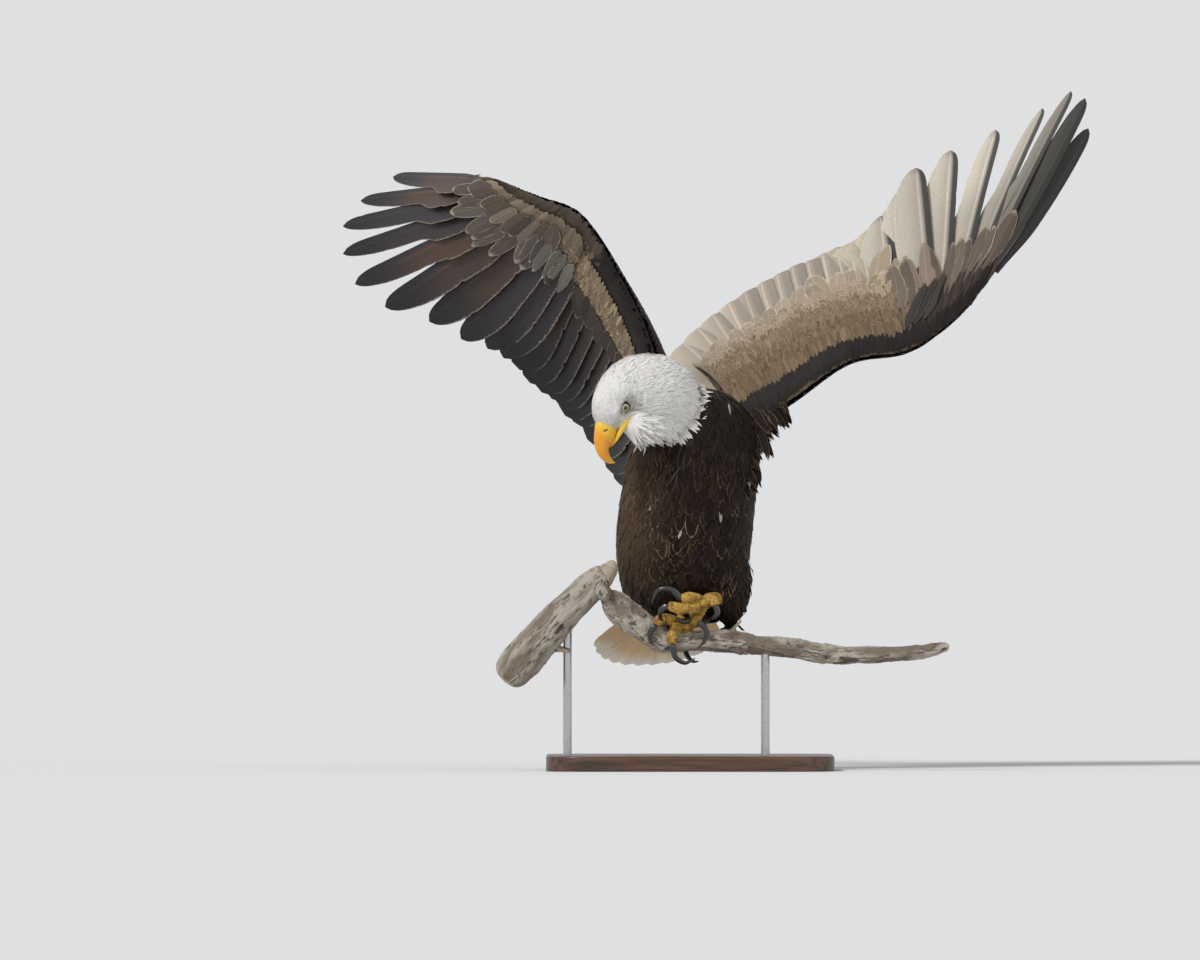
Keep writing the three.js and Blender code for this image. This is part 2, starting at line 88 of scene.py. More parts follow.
def turned(a: Array, b: Array, angle: Array) -> tuple[Array, Array]:
    """A pair of directions at right angles, turned from a towards b."""
    return a * np.cos(angle) + b * np.sin(angle), b * np.cos(angle) - a * np.sin(angle)


def square_to(v: Array, axis: Array) -> Array:
    """The parts of vectors at right angles to an axis of length one, made of length one."""
    return unit(v - axis * np.sum(v * axis, axis=-1, keepdims=True))


def round_ends(t: Array, power: int) -> Array:
    """Share of the full girth at t, 0 to 1, for a body closed at both ends; a high power makes them blunt."""
    return np.sqrt(np.clip(1 - (2 * np.abs(t - 0.5)) ** power, 0, 1))


def spline(points: Sequence, t: Array, open_ends: bool = True) -> Array:
    """Runs a smooth curve through evenly spaced points.

    Args:
        points: the points, as rows.
        t: places along the curve, 0 to 1, of any shape.
        open_ends: carry the end slopes on past the ends, instead of flattening them.

    Returns:
        The curve at each t, with one more axis than t.
    """
    p = np.asarray(points, float)
    last = len(p) - 1
    x = np.clip(np.asarray(t, float), 0, 1) * last
    i = np.minimum(x.astype(int), last - 1)
    w = (x - i)[..., None]
    first, end = (2 * p[0] - p[1], 2 * p[-1] - p[-2]) if open_ends else (p[0], p[-1])
    padded = np.concatenate([[first], p, [end]])
    p0, p1, p2, p3 = padded[i], padded[i + 1], padded[i + 2], padded[i + 3]
    v0, v1 = (p2 - p0) / 2, (p3 - p1) / 2
    return (2 * p1 - 2 * p2 + v0 + v1) * w**3 + (-3 * p1 + 3 * p2 - 2 * v0 - v1) * w**2 + v0 * w + p1


def along(values: Sequence[float], t: Array) -> Array:
    """A number that runs smoothly through values spread evenly over t = 0 to 1."""
    return spline([[v] for v in values], t, open_ends=False)[..., 0]


def heading(points: Sequence, t: Array) -> Array:
    """The direction of the curve through points at each t."""
    return unit(spline(points, t + STEP) - spline(points, t - STEP))


def mm(*points: Point) -> Array:
    """Points given in millimetres, as rows in metres."""
    return np.array(points, float) * MM


# ---------------- shader expressions


class Value:
    """A shader socket that takes part in plain arithmetic."""

    def __init__(self, nodes: "Nodes", socket: bpy.types.NodeSocket) -> None:
        """Wraps a socket of a node tree."""
        self.nodes = nodes
        self.socket = socket

    def _math(self, operation: str, *operands: "Value | float") -> "Value":
        """One Math node on these operands."""
        return self.nodes.node("ShaderNodeMath", {"operation": operation}, *operands)

    def __add__(self, other: "Value | float") -> "Value":
        """Sum."""
        return self._math("ADD", self, other)

    def __sub__(self, other: "Value | float") -> "Value":
        """Difference."""
        return self._math("SUBTRACT", self, other)

    def __mul__(self, other: "Value | float") -> "Value":
        """Product."""
        return self._math("MULTIPLY", self, other)

    def __truediv__(self, other: "Value | float") -> "Value":
        """Quotient."""
        return self._math("DIVIDE", self, other)

    def __rsub__(self, other: float) -> "Value":
        """Difference from a number."""
        return self._math("SUBTRACT", other, self)

    __radd__ = __add__
    __rmul__ = __mul__

    def abs(self) -> "Value":
        """Size without sign."""
        return self._math("ABSOLUTE", self)

    def sin(self) -> "Value":
        """Sine."""
        return self._math("SINE", self)

    def step(self, low: float, high: float) -> "Value":
        """A soft step from 0 at low to 1 at high."""
        settings = {"interpolation_type": "SMOOTHSTEP"}
        return self.nodes.node("ShaderNodeMapRange", settings, self, low, high, 0.0, 1.0)


class Nodes:
    """A node tree whose nodes are made by expressions."""

    def __init__(self, tree: bpy.types.NodeTree) -> None:
        """Takes up a tree."""
        self.tree = tree

    def node(self, kind: str, settings: dict, *inputs: object, out: int | str = 0, **named: object) -> Value:
        """Makes any node.

        Args:
            kind: the node's type.
            settings: its properties, or "stops" for a colour ramp.
            *inputs: values or links of its first sockets, None to leave one alone.
            out: the output that is wanted.
            **named: values or links by socket name, with _ for a space.

        Returns:
            The wanted output.
        """
        made = self.tree.nodes.new(kind)
        for key, value in settings.items():
            if key == "stops":
                self._stops(made.color_ramp, value)
            else:
                setattr(made, key, value)
        for socket, value in zip(made.inputs, inputs):
            self.put(socket, value)
        self.put_all(made, named)
        return Value(self, made.outputs[out])

    def _stops(self, ramp: bpy.types.ColorRamp, stops: Sequence[tuple[float, Colour]]) -> None:
        """Sets a ramp's stops.

        Args:
            ramp: the ramp.
            stops: each stop's place and colour.
        """
        while len(ramp.elements) < len(stops):
            ramp.elements.new(1.0)
        for element, (place, colour) in zip(ramp.elements, stops):
            element.position = place
            element.color = (*colour, 1.0)

    def put(self, socket: bpy.types.NodeSocket, value: object) -> None:
        """Links or sets one socket.

        Args:
            socket: the socket.
            value: a link, a number, a vector or a colour; None leaves the socket alone.
        """
        if isinstance(value, Value):
            self.tree.links.new(value.socket, socket)
        elif isinstance(value, tuple) and socket.type == "RGBA":
            socket.default_value = (*value, 1.0)
        elif value is not None:
            socket.default_value = value

    def put_all(self, node: bpy.types.Node, named: dict) -> None:
        """Links or sets a node's sockets by name, with _ for a space."""
        for key, value in named.items():
            self.put(node.inputs[key.replace("_", " ")], value)


class Shader(Nodes):
    """A material and its surface."""

    def __init__(self, name: str, **sockets: float) -> None:
        """Starts a material.

        Args:
            name: the material's name.
            **sockets: values of the surface's own sockets, with _ for a space.
        """
        self.material = bpy.data.materials.new(name)
        self.material.use_nodes = True
        super().__init__(self.material.node_tree)
        self.surface = self.tree.nodes["Principled BSDF"]
        self.feed(**sockets)

    def place(self) -> Value:
        """The object's own coordinates, in metres."""
        return self.node("ShaderNodeTexCoord", {}, out="Object")

    def attribute(self, name: str, out: str = "Color") -> Value:
        """A named attribute of the mesh."""
        return self.node("ShaderNodeAttribute", {"attribute_name": name}, out=out)

    def vector(self, operation: str, *operands: "Value | Point", out: str = "Vector") -> Value:
        """One vector maths node on these operands."""
        return self.node("ShaderNodeVectorMath", {"operation": operation}, *operands, out=out)

    def noise(
        self, scale: float, detail: float = 3.0, stretch: Point = (1, 1, 1), rough: float = 0.55
    ) -> Value:
        """Soft noise on the object's coordinates, 0 to 1."""
        place = self.vector("MULTIPLY", self.place(), stretch)
        return self.node("ShaderNodeTexNoise", {}, Vector=place, Scale=scale, Detail=detail, Roughness=rough)

    def seams(self, scale: float) -> Value:
        """Distance from the seams in a pattern of cells on the object's coordinates."""
        settings = {"feature": "DISTANCE_TO_EDGE"}
        return self.node("ShaderNodeTexVoronoi", settings, Vector=self.place(), Scale=scale, out="Distance")

    def colour(self, a: Value | Colour, b: Value | Colour, share: Value | float, how: str = "MIX") -> Value:
        """Mixes two colours, which are a Mix node's seventh and eighth sockets."""
        settings = {"data_type": "RGBA", "blend_type": how}
        return self.node("ShaderNodeMix", settings, share, *[None] * 5, a, b, out=2)

    def ramp(self, value: Value, *stops: tuple[float, Colour]) -> Value:
        """A colour ramp on a value."""
        return self.node("ShaderNodeValToRGB", {"stops": stops}, value)

    def bump(self, height: Value, strength: float, distance: float) -> None:
        """Adds fine relief over what the surface already has.

        Args:
            height: the relief.
            strength: its strength, 0 to 1.
            distance: its depth, in metres.
        """
        normal = self.surface.inputs["Normal"]
        before = Value(self, normal.links[0].from_socket) if normal.links else None
        relief = {"Height": height, "Strength": strength, "Distance": distance, "Normal": before}
        self.feed(Normal=self.node("ShaderNodeBump", {}, **relief))

    def feed(self, **sockets: Value | Colour | float) -> None:
        """Feeds the surface's own sockets, named with _ for a space."""
        self.put_all(self.surface, sockets)


# ---------------- meshes


def select_only(obj: Piece) -> None:
    """Makes an object the only selected one, and the active one.

    Args:
        obj: the object.
    """
    bpy.ops.object.select_all(action="DESELECT")
    obj.select_set(True)
    bpy.context.view_layer.objects.active = obj


@contextmanager
def edit_mode(obj: Piece) -> Iterator[None]:
    """Opens a piece with all its faces picked, and closes it again.

    Args:
        obj: the piece.

    Yields:
        Nothing, while the piece is open.
    """
    select_only(obj)
    bpy.ops.object.mode_set(mode="EDIT")
    bpy.ops.mesh.select_all(action="SELECT")
    yield
    bpy.ops.object.mode_set(mode="OBJECT")


def apply_modifier(obj: Piece, kind: str, **settings: object) -> None:
    """Adds a modifier and applies it.

    Args:
        obj: the piece.
        kind: the modifier's type.
        **settings: its properties.
    """
    select_only(obj)
    made = obj.modifiers.new(kind.lower(), kind)
    for key, value in settings.items():
        setattr(made, key, value)
    bpy.ops.object.modifier_apply(modifier=made.name)


def join(objects: Sequence[Piece], name: str) -> Piece:
    """Joins objects into the first one.

    Args:
        objects: the objects.
        name: the name of the whole.

    Returns:
        The whole.
    """
    select_only(objects[0])
    for obj in objects[1:]:
        obj.select_set(True)
    if len(objects) > 1:
        bpy.ops.object.join()
    return rename(objects[0], name)


def rename(obj: Piece, name: str) -> Piece:
    """Names an object and its mesh."""
    obj.name = obj.data.name = name
    return obj


def smooth_shade(obj: Piece, angle: float = 180.0) -> None:
    """Shades an object smooth.

    Args:
        obj: the object.
        angle: angle between faces above which an edge stays sharp, in degrees.
    """
    select_only(obj)
    if angle >= 180:
        bpy.ops.object.shade_smooth()
    else:
        bpy.ops.object.shade_smooth_by_angle(angle=math.radians(angle))


def points_of(obj: Piece, what: str = "co") -> Array:
    """Reads an object's vertices.

    Args:
        obj: the object.
        what: "co" for their places, "normal" for their normals.

    Returns:
        The places or normals as rows.
    """
    flat = np.empty(len(obj.data.vertices) * 3, np.float32)
    obj.data.vertices.foreach_get(what, flat)
    return flat.reshape(-1, 3).astype(float)


def move_points(obj: Piece, points: Array) -> None:
    """Moves an object's vertices to these rows."""
    obj.data.vertices.foreach_set("co", points.astype(np.float32).ravel())
    obj.data.update()


def colour_points(obj: Piece, name: str, colours: Array) -> None:
    """Stores a colour for each vertex.

    Args:
        obj: the object.
        name: the colours' name.
        colours: a row for each vertex.
    """
    layer = obj.data.color_attributes.new(name, "FLOAT_COLOR", "POINT")
    rows = np.concatenate([colours, np.ones((len(colours), 1))], axis=1)
    layer.data.foreach_set("color", rows.astype(np.float32).ravel())


def grid_object(name: str, points: Array, faces: Array) -> Piece:
    """Makes an object from vertices and faces with four corners each.

    Args:
        name: the object's name.
        points: vertices as rows.
        faces: vertex numbers, four to a row.

    Returns:
        The new object, at the origin.
    """
    mesh = bpy.data.meshes.new(name)
    mesh.vertices.add(len(points))
    mesh.vertices.foreach_set("co", points.astype(np.float32).ravel())
    mesh.loops.add(faces.size)
    mesh.loops.foreach_set("vertex_index", faces.astype(np.int32).ravel())
    mesh.polygons.add(len(faces))
    mesh.polygons.foreach_set("loop_start", np.arange(0, faces.size, 4, dtype=np.int32))
    mesh.update(calc_edges=True)
    mesh.polygons.foreach_set("use_smooth", np.ones(len(faces), bool))
    obj = bpy.data.objects.new(name, mesh)
    bpy.context.scene.collection.objects.link(obj)
    return obj


def loft(name: str, place: Place, sides: int, rings: int) -> Piece:
    """Shapes a ball into a closed body.

    Args:
        name: the object's name.
        place: gives the skin's point for t, 0 to 1 along the body, and the angle round it.
        sides: faces round the body.
        rings: faces along it.

    Returns:
        The body, smooth, at the origin.
    """
    bpy.ops.object.select_all(action="DESELECT")
    bpy.ops.mesh.primitive_uv_sphere_add(segments=sides, ring_count=rings, radius=1.0)
    obj = rename(bpy.context.object, name)
    ball = points_of(obj)
    t = 1 - np.arccos(np.clip(ball[:, 2], -1, 1)) / math.pi
    move_points(obj, place(t, np.arctan2(ball[:, 1], ball[:, 0])))
    with edit_mode(obj):
        bpy.ops.mesh.normals_make_consistent(inside=False)
    smooth_shade(obj)
    return obj


def ring(name: str, place: Place, around: int, sides: int) -> Piece:
    """Shapes a torus.

    Args:
        name: the object's name.
        place: gives the skin's point for t, 0 to 1 round the ring, and the angle round its rim.
        around: faces round the ring.
        sides: faces round its rim.

    Returns:
        The ring, smooth, at the origin.
    """
    bpy.ops.object.select_all(action="DESELECT")
    counts = {"major_segments": around, "minor_segments": sides}
    bpy.ops.mesh.primitive_torus_add(**counts, major_radius=1.0, minor_radius=0.3)
    obj = rename(bpy.context.object, name)
    x, y, z = points_of(obj).T
    move_points(obj, place(np.arctan2(y, x) / (2 * np.pi), np.arctan2(z, np.hypot(x, y) - 1)))
    smooth_shade(obj)
    return obj


def sphere(t: Array, angle: Array) -> Array:
    """Points of a ball of radius 1, t from its foot to its top."""
    across = np.sin(t * np.pi)
    return np.stack([np.cos(angle) * across, np.sin(angle) * across, -np.cos(t * np.pi)], axis=-1)


def tube(path: Array, widths: Sequence[float], depths: Sequence[float], across: Point) -> Place:
    """A place function for a body round a middle line.

    Args:
        path: the middle line.
        widths: half-widths in metres, spread evenly along it.
        depths: half-depths at right angles to them.
        across: the direction that the widths lean to.

    Returns:
        The place function.
    """

    def place(t: Array, angle: Array) -> Array:
        """Places the body's skin.

        Args:
            t: places along it.
            angle: angles round it.

        Returns:
            The points.
        """
        tangent = heading(path, t)
        depth = unit(np.cross(tangent, np.array(across, float)))
        width = np.cross(depth, tangent)
        ends = round_ends(t, 14)
        sideways = np.cos(angle) * along(widths, t) * ends
        down = np.sin(angle) * along(depths, t) * ends
        return spline(path, t) + width * sideways[:, None] + depth * down[:, None]

    return place


def finish_piece(obj: Piece, material: Material, slot: str, *nodes: str) -> None:
    """Dresses a finished piece and ties it to the frame.

    Args:
        obj: the piece.
        material: its finish.
        slot: the record's material slot; not used.
        *nodes: the frame's nodes that it stands for.
    """
    obj.data.materials.clear()
    obj.data.materials.append(material)
    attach(obj, "root")
    if nodes:
        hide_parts(*nodes)
    LOG.info("%s: %d faces", obj.name, len(obj.data.polygons))


# ---------------- the wings' plan


class Side(Enum):
    """A side of the bird."""

    LEFT = "left"
    RIGHT = "right"

    @property
    def sign(self) -> float:
        """1 on the left, -1 on the right."""
        return 1.0 if self is Side.LEFT else -1.0


class Face(Enum):
    """A face of the wing."""

    UPPER = 1
    LOWER = -1


@dataclass(frozen=True)
class Wing:
    """The surface that a wing's feathers lie on.

    Along the wing, s runs from 0 at the shoulder through the wrist to 1 at the tip of the hand. Across it,
    c runs from 0 at the leading edge to 1 at the feather tips.

    Attributes:
        side: the bird's side that it is on.
        leading: its leading edge, from the shoulder outwards.
        arm_tips: the tips of the arm's feathers.
        hand_tips: the tips of the hand's feathers.
        bow: how far the outer primaries bend aside, as a share of their length.
        wrist: s at the wrist.
        camber: rise of its middle surface along s, as a share of the chord.
        flesh_chord: width of the flesh along s, likewise.
        flesh_thickness: thickness of the flesh along s, in millimetres.
        nearby: step along s for the direction out along the wing.
    """

    side: Side
    leading: Array
    arm_tips: Array
    hand_tips: Array
    bow: float
    wrist: float = 0.6
    camber: tuple = (0.07, 0.06, 0.05, 0.04, 0.03, 0.02)
    flesh_chord: tuple = (0.62, 0.58, 0.5, 0.42, 0.3, 0.2)
    flesh_thickness: tuple = (30, 24, 19, 16, 11, 5)
    nearby: float = 0.05

    def tip(self, s: Array) -> Array:
        """Finds the feathers' tips.

        Args:
            s: places along the wing.

        Returns:
            The tips.
        """
        arm = spline(self.arm_tips, s / self.wrist)
        hand = spline(self.hand_tips, (s - self.wrist) / (1 - self.wrist))
        return np.where((s < self.wrist)[..., None], arm, hand)

    def axes(self, s: Array) -> tuple[Array, Array, Array, Array]:
        """Sets up the wing's directions.

        Args:
            s: places along the wing.

        Returns:
            The leading edge, the chord, and the directions out along the wing and up off its upper face.
        """
        s = np.asarray(s, float)
        front = spline(self.leading, s)
        chord = self.tip(s) - front
        ends = np.minimum(1, s + self.nearby), np.maximum(0, s - self.nearby)
        outer, inner = ((spline(self.leading, end) + self.tip(end)) / 2 for end in ends)
        out = square_to(outer - inner, unit(chord))
        return front, chord, out, unit(np.cross(out, chord)) * self.side.sign

    def hump(self, s: Array, c: Array) -> Array:
        """Half the wing's thickness, coat and all."""
        x = np.clip(c / along(self.flesh_chord, s), 0, 1)
        return (2.6 * np.sqrt(x) * (1 - x) * along(self.flesh_thickness, s) + 2.4 * np.sqrt(x)) * MM

    def flesh(self, t: Array, angle: Array) -> Array:
        """Places the flesh's skin.

        Args:
            t: places along the wing.
            angle: angles round it.

        Returns:
            The points.
        """
        s = np.clip(t * 0.98 - 0.01, 0, 1)
        ends = round_ends(t, 20)
        x = 0.5 - np.cos(angle) * ends * 0.5
        c = 0.004 + x * along(self.flesh_chord, s) * 0.93
        lift = np.sin(angle) * ends * self.hump(s, c) * mix(0.97, 0.62, smooth(c, 0.03, 0.14))
        return self.at(s, c, lift)

    def at(self, s: Array, c: Array, lift: Array = 0.0, aside: Array = 0.0) -> Array:
        """Places points on the wing.

        Args:
            s: places along the wing.
            c: places across it.
            lift: distances off its middle surface, in metres.
            aside: distances out along the wing, in metres.

        Returns:
            The points.
        """
        front, chord, out, upper = self.axes(s)
        c = np.asarray(c, float)
        rise = along(self.camber, s) * 4 * c * (1 - c) * np.linalg.norm(chord, axis=-1) + lift
        return front + chord * c[..., None] + upper * rise[..., None] + out * np.asarray(aside)[..., None]


WINGS = (
    Wing(
        Side.LEFT,
        mm((92, -12, 545), (166, 12, 592), (255, 38, 652), (345, 72, 668), (408, 112, 705), (469, 185, 767)),
        mm(
            (-24, 330, 669), (45, 400, 735), (120, 400, 782), (190, 396, 818), (255, 384, 843),
            (300, 376, 874),
        ),
        mm(
            (311, 375, 888), (341, 393, 918), (369, 430, 966), (460, 497, 1011), (574, 505, 1064),
            (634, 464, 1093), (646, 427, 1030),
        ),
        0.02,
    ),
    Wing(
        Side.RIGHT,
        mm(
            (-45, -50, 575), (-62, -52, 680), (-106, -50, 780), (-172, -48, 885), (-240, -4, 918),
            (-308, 46, 946),
        ),
        mm(
            (-92, 300, 452), (-122, 307, 473), (-165, 300, 533), (-198, 283, 570), (-234, 250, 602),
            (-284, 211, 652),
        ),
        mm(
            (-301, 192, 659), (-343, 214, 685), (-419, 260, 721), (-518, 325, 762), (-557, 380, 832),
            (-548, 401, 898), (-477, 381, 956),
        ),
        0.015,
    ),
)


# ---------------- the head's own frame


@dataclass(frozen=True)
class HeadFrame:
    """The head's own directions.

    Attributes:
        middle: the point between the eyes.
        ahead: forward along the bill.
        crown: roughly up through the crown.
    """

    middle: Point = (-0.117, -0.126, 0.580)
    ahead: Point = (-0.405, -0.245, -0.877)
    crown: Point = (-0.78, -0.411, 0.479)

    def axes(self) -> tuple[Array, Array, Array]:
        """Sets up the head's directions.

        Returns:
            Forward, left and up.
        """
        forward = unit(np.array(self.ahead))
        up = np.array(self.crown)
        up = unit(up - forward * (up @ forward))
        return forward, np.cross(up, forward), up

    def at(self, forward: Array, left: Array, up: Array) -> Array:
        """Places points by the head.

        Args:
            forward: distances from its middle towards the bill, in millimetres.
            left: distances to its left.
            up: distances towards the crown.

        Returns:
            The points.
        """
        steps = zip((forward, left, up), self.axes())
        return np.array(self.middle) + sum(np.asarray(v, float)[..., None] * MM * axis for v, axis in steps)

    def inside(self, points: Array) -> Array:
        """Points in millimetres forward, to the left and up from the head's middle."""
        return (points - np.array(self.middle)) @ np.array(self.axes()).T / MM


HEAD = HeadFrame()
BILL_BASE = HEAD.at(44, 0, -2)
TAIL_AXIS = unit(np.array((-0.2, 0.84, -0.505)))


# ---------------- feathers


@dataclass(frozen=True)
class Vane:
    """The shape of one kind of feather.

    Attributes:
        rows: points along the feather.
        columns: points across it.
        rise: share of the length over which it widens.
        blunt: how square its end is; 1 is a spear's point.
        end: width left at the very end, as a share of the greatest.
        cup: fall of its edges, as a share of its half width.
        ragged: how far the barbs' ends differ, as a share of its length.
        slope: rise of its tip off what it lies on, as a share of its length.
        sink: depth of its root under the skin, in metres.
    """

    rows: int = 6
    columns: int = 5
    rise: float = 0.25
    blunt: float = 2.5
    end: float = 0.3
    cup: float = 0.25
    ragged: float = 0.08
    slope: float = 0.12
    sink: float = 0.001

    def half_width(self, u: Array) -> Array:
        """Shapes the outline.

        Args:
            u: places along the feather.

        Returns:
            Half the width there, as a share of the greatest.
        """
        rise = np.clip(u / self.rise, 0.02, 1) ** 0.6
        fall = np.clip(1 - u**self.blunt, 0, 1) ** 0.55
        return rise * (self.end + (1 - self.end) * fall)


@dataclass
class Feathers:
    """A batch of feathers of one kind, with a row for each in every array.

    Attributes:
        shape: their kind.
        length: from root to tip, in metres.
        width: the whole width, in metres.
        tint: the vane's colour.
        rim: the colour of its edge.
        u: each point's place along its feather, 0 to 1.
        v: each point's place across it, -1 to 1.
    """

    shape: Vane
    length: Array
    width: Array
    tint: Array
    rim: Array
    u: Array = field(init=False)
    v: Array = field(init=False)

    def lay_out(self, rng: np.random.Generator) -> tuple[Array, Array, Array]:
        """Spreads each feather out flat.

        Args:
            rng: the source of chance.

        Returns:
            Distances along the feather, across it, and off the surface, in metres, for each point.
        """
        kind, count = self.shape, len(self.length)
        self.u = np.linspace(0, 1, kind.rows)[None, :, None] * np.ones((count, 1, kind.columns))
        self.v = np.linspace(-1, 1, kind.columns)[None, None, :] * np.ones((count, kind.rows, 1))
        ends = 1 - kind.ragged * rng.random((count, 1, kind.columns))
        skew = rng.normal(0, 0.06, (count, 1, 1))
        along_it = self.u * (1 + (ends - 1) * self.u**2) * self.length[:, None, None]
        half = kind.half_width(self.u) * self.width[:, None, None] / 2
        aside = half * self.v + skew * self.u**2 * self.length[:, None, None]
        fall = kind.cup * half * self.v**2
        off = kind.slope * self.u * self.length[:, None, None] - fall - kind.sink * (1 - self.u) ** 2
        return along_it, aside, off

    def as_object(self, name: str, points: Array, roots: Array) -> Piece:
        """Makes one mesh of the batch.

        Args:
            name: the object's name.
            points: each feather's points.
            roots: each root's place on the bake map.

        Returns:
            The object, with its colours and both of its maps.
        """
        count, rows, columns = self.u.shape
        place = np.stack([self.v.reshape(count, -1) / 2, self.u.reshape(count, -1)], axis=-1)
        colours = [np.repeat(each, rows * columns, axis=0) for each in (self.tint, self.rim)]
        bake = roots[:, None, :] + place * TUFT_PATCH
        return vane_object(name, points, grid_faces(rows, columns), (bake, place + (0.5, 0)), colours)


def grid_faces(rows: int, columns: int) -> Array:
    """The faces of a grid of points, as the numbers of their corners."""
    cell = np.arange(rows * columns).reshape(rows, columns)
    return np.stack([cell[:-1, :-1], cell[:-1, 1:], cell[1:, 1:], cell[1:, :-1]], axis=-1).reshape(-1, 4)


def vane_object(name: str, points: Array, faces: Array, maps: tuple, colours: Sequence[Array]) -> Piece:
    """Makes one mesh of many feathers that have the same faces.

    Args:
        name: the object's name.
        points: each feather's points.
        faces: the faces of one feather.
        maps: each point's place on the bake map and on its own vane.
        colours: each point's tint and edge colour.

    Returns:
        The object, with its maps and colours.
    """
    count = len(points)
    starts = np.arange(count) * (points.size // 3 // count)
    obj = grid_object(name, points.reshape(-1, 3), (faces[None] + starts[:, None, None]).reshape(-1, 4))
    corners = np.empty(len(obj.data.loops), np.int32)
    obj.data.loops.foreach_get("vertex_index", corners)
    for title, rows in zip((BAKE_MAP, VANE_MAP), maps):
        layer = obj.data.uv_layers.new(name=title)
        layer.data.foreach_set("uv", rows.reshape(-1, 2)[corners].astype(np.float32).ravel())
    for title, rows in zip(("tint", "rim"), colours):
        colour_points(obj, title, rows.reshape(-1, 3))
    return obj


def shade_of(colour: Colour, count: int, rng: np.random.Generator, spread: float = 0.12) -> Array:
    """Shades a colour a little lighter or darker from one feather to the next.

    Args:
        colour: the colour.
        count: the number of feathers.
        rng: the source of chance.
        spread: how much it varies.

    Returns:
        A colour for each feather.
    """
    return np.clip(np.array(colour) * np.exp(rng.normal(0, spread, (count, 1))), 0, 1)


# ---------------- finishes


@dataclass(frozen=True)
class Finish:
    """A surface finish.

    Attributes:
        name: the material's name.
    """

    name: str


@dataclass(frozen=True)
class VaneFinish(Finish):
    """A feather's surface: its own tint with fine barbs, a shaft, and an edge of another colour.

    Attributes:
        roughness: its roughness.
        edge: share of the half width that stays the tint before the edge colour starts.
        barbs: strength of the relief of the barbs.
        sheen: soft light along the surface.
        shaft: how much lighter the shaft is, as a share of the tint; below 0 it is darker.
        tip: share of the length at which the edge colour of the end starts.
        gloss: strength of the plain shine.
    """

    roughness: float = 0.55
    edge: float = 0.8
    barbs: float = 0.25
    sheen: float = 0.0
    shaft: float = 0.3
    tip: float = 0.88
    gloss: float = 0.15

    def make(self) -> Material:
        """Makes the material.

        Returns:
            The material.
        """
        shader = Shader(self.name, Sheen_Weight=self.sheen, Specular_IOR_Level=self.gloss)
        across = shader.node("ShaderNodeUVMap", {"uv_map": VANE_MAP})
        parts = [shader.node("ShaderNodeSeparateXYZ", {}, across, out=i) for i in (0, 1)]
        side, run = (parts[0] - 0.5).abs() * 2.0, parts[1]
        blur = {"Vector": shader.place(), "Scale": 260.0, "Detail": 2.0, "Roughness": 0.6}
        streak = shader.node("ShaderNodeTexNoise", {}, **blur)
        wander = (streak - 0.5) * 0.25
        edge = (side + wander).step(self.edge, min(self.edge + 0.14, 0.98))
        tip = (run + wander * (1.0 - self.tip) * 4.0).step(self.tip, self.tip + 0.1)
        rim = 1.0 - (1.0 - edge) * (1.0 - tip)
        shaft = 1.0 - side.step(0.03, 0.09)
        body = shader.colour(shader.attribute("tint"), shader.attribute("rim"), rim)
        lit = shader.colour(body, (1.0 + self.shaft,) * 3, shaft, "MULTIPLY")
        grain = shader.ramp(streak, (0.3, (0.82, 0.82, 0.82)), (0.7, (1.0, 1.0, 1.0)))
        shader.feed(Base_Color=shader.colour(lit, grain, 1.0, "MULTIPLY"), Roughness=self.roughness)
        barbs = ((run * 90.0 + side * 26.0) * 2.0).sin()
        shader.bump(barbs * self.barbs + shaft, 0.35, 0.0004)
        return shader.material


class SkinFinish(Finish):
    """Skin: its own tint with a fine grain, and on the feet scales with brown stains and painted shade in
    their creases.
    """

    def make(self) -> Material:
        """Makes the material.

        Returns:
            The material.
        """
        shader = Shader(self.name, Specular_IOR_Level=0.3)
        grain = shader.noise(600.0, 2.0)
        scaly = shader.attribute("rim", "Fac")
        crease_shade_mask = (1.0 - shader.seams(330.0).step(0.0, 0.12)) * scaly
        tint = shader.colour(shader.attribute("tint"), BLACK, grain * 0.25)
        stain = shader.noise(90.0, 4.0).step(0.45, 0.65) * scaly
        tint = shader.colour(tint, (0.2, 0.095, 0.02), stain * 0.75)
        # Painted shade darkens the creases between the feet's scales.
        shader.feed(Base_Color=shader.colour(tint, (0.1, 0.045, 0.012), crease_shade_mask * 0.65), Roughness=0.6)
        shader.bump(grain, 0.3, 0.0006)
        shader.bump(1.0 - crease_shade_mask, 1.0, 0.0014)
        return shader.material


class BillFinish(Finish):
    """Horn of the bill: its own tint with darker clouds, a fine grain and a light polish."""

    def make(self) -> Material:
        """Makes the material.

        Returns:
            The material.
        """
        shader = Shader(self.name, Specular_IOR_Level=0.5, Coat_Weight=0.25, Coat_Roughness=0.2)
        grain = shader.noise(90.0, 4.0)
        tint = shader.colour(shader.attribute("tint"), (0.25, 0.09, 0.005), grain.step(0.55, 0.85) * 0.35)
        shader.feed(Base_Color=tint, Roughness=0.3 + shader.noise(220.0) * 0.15)
        shader.bump(shader.noise(70.0, 3.0), 0.25, 0.001)
        return shader.material


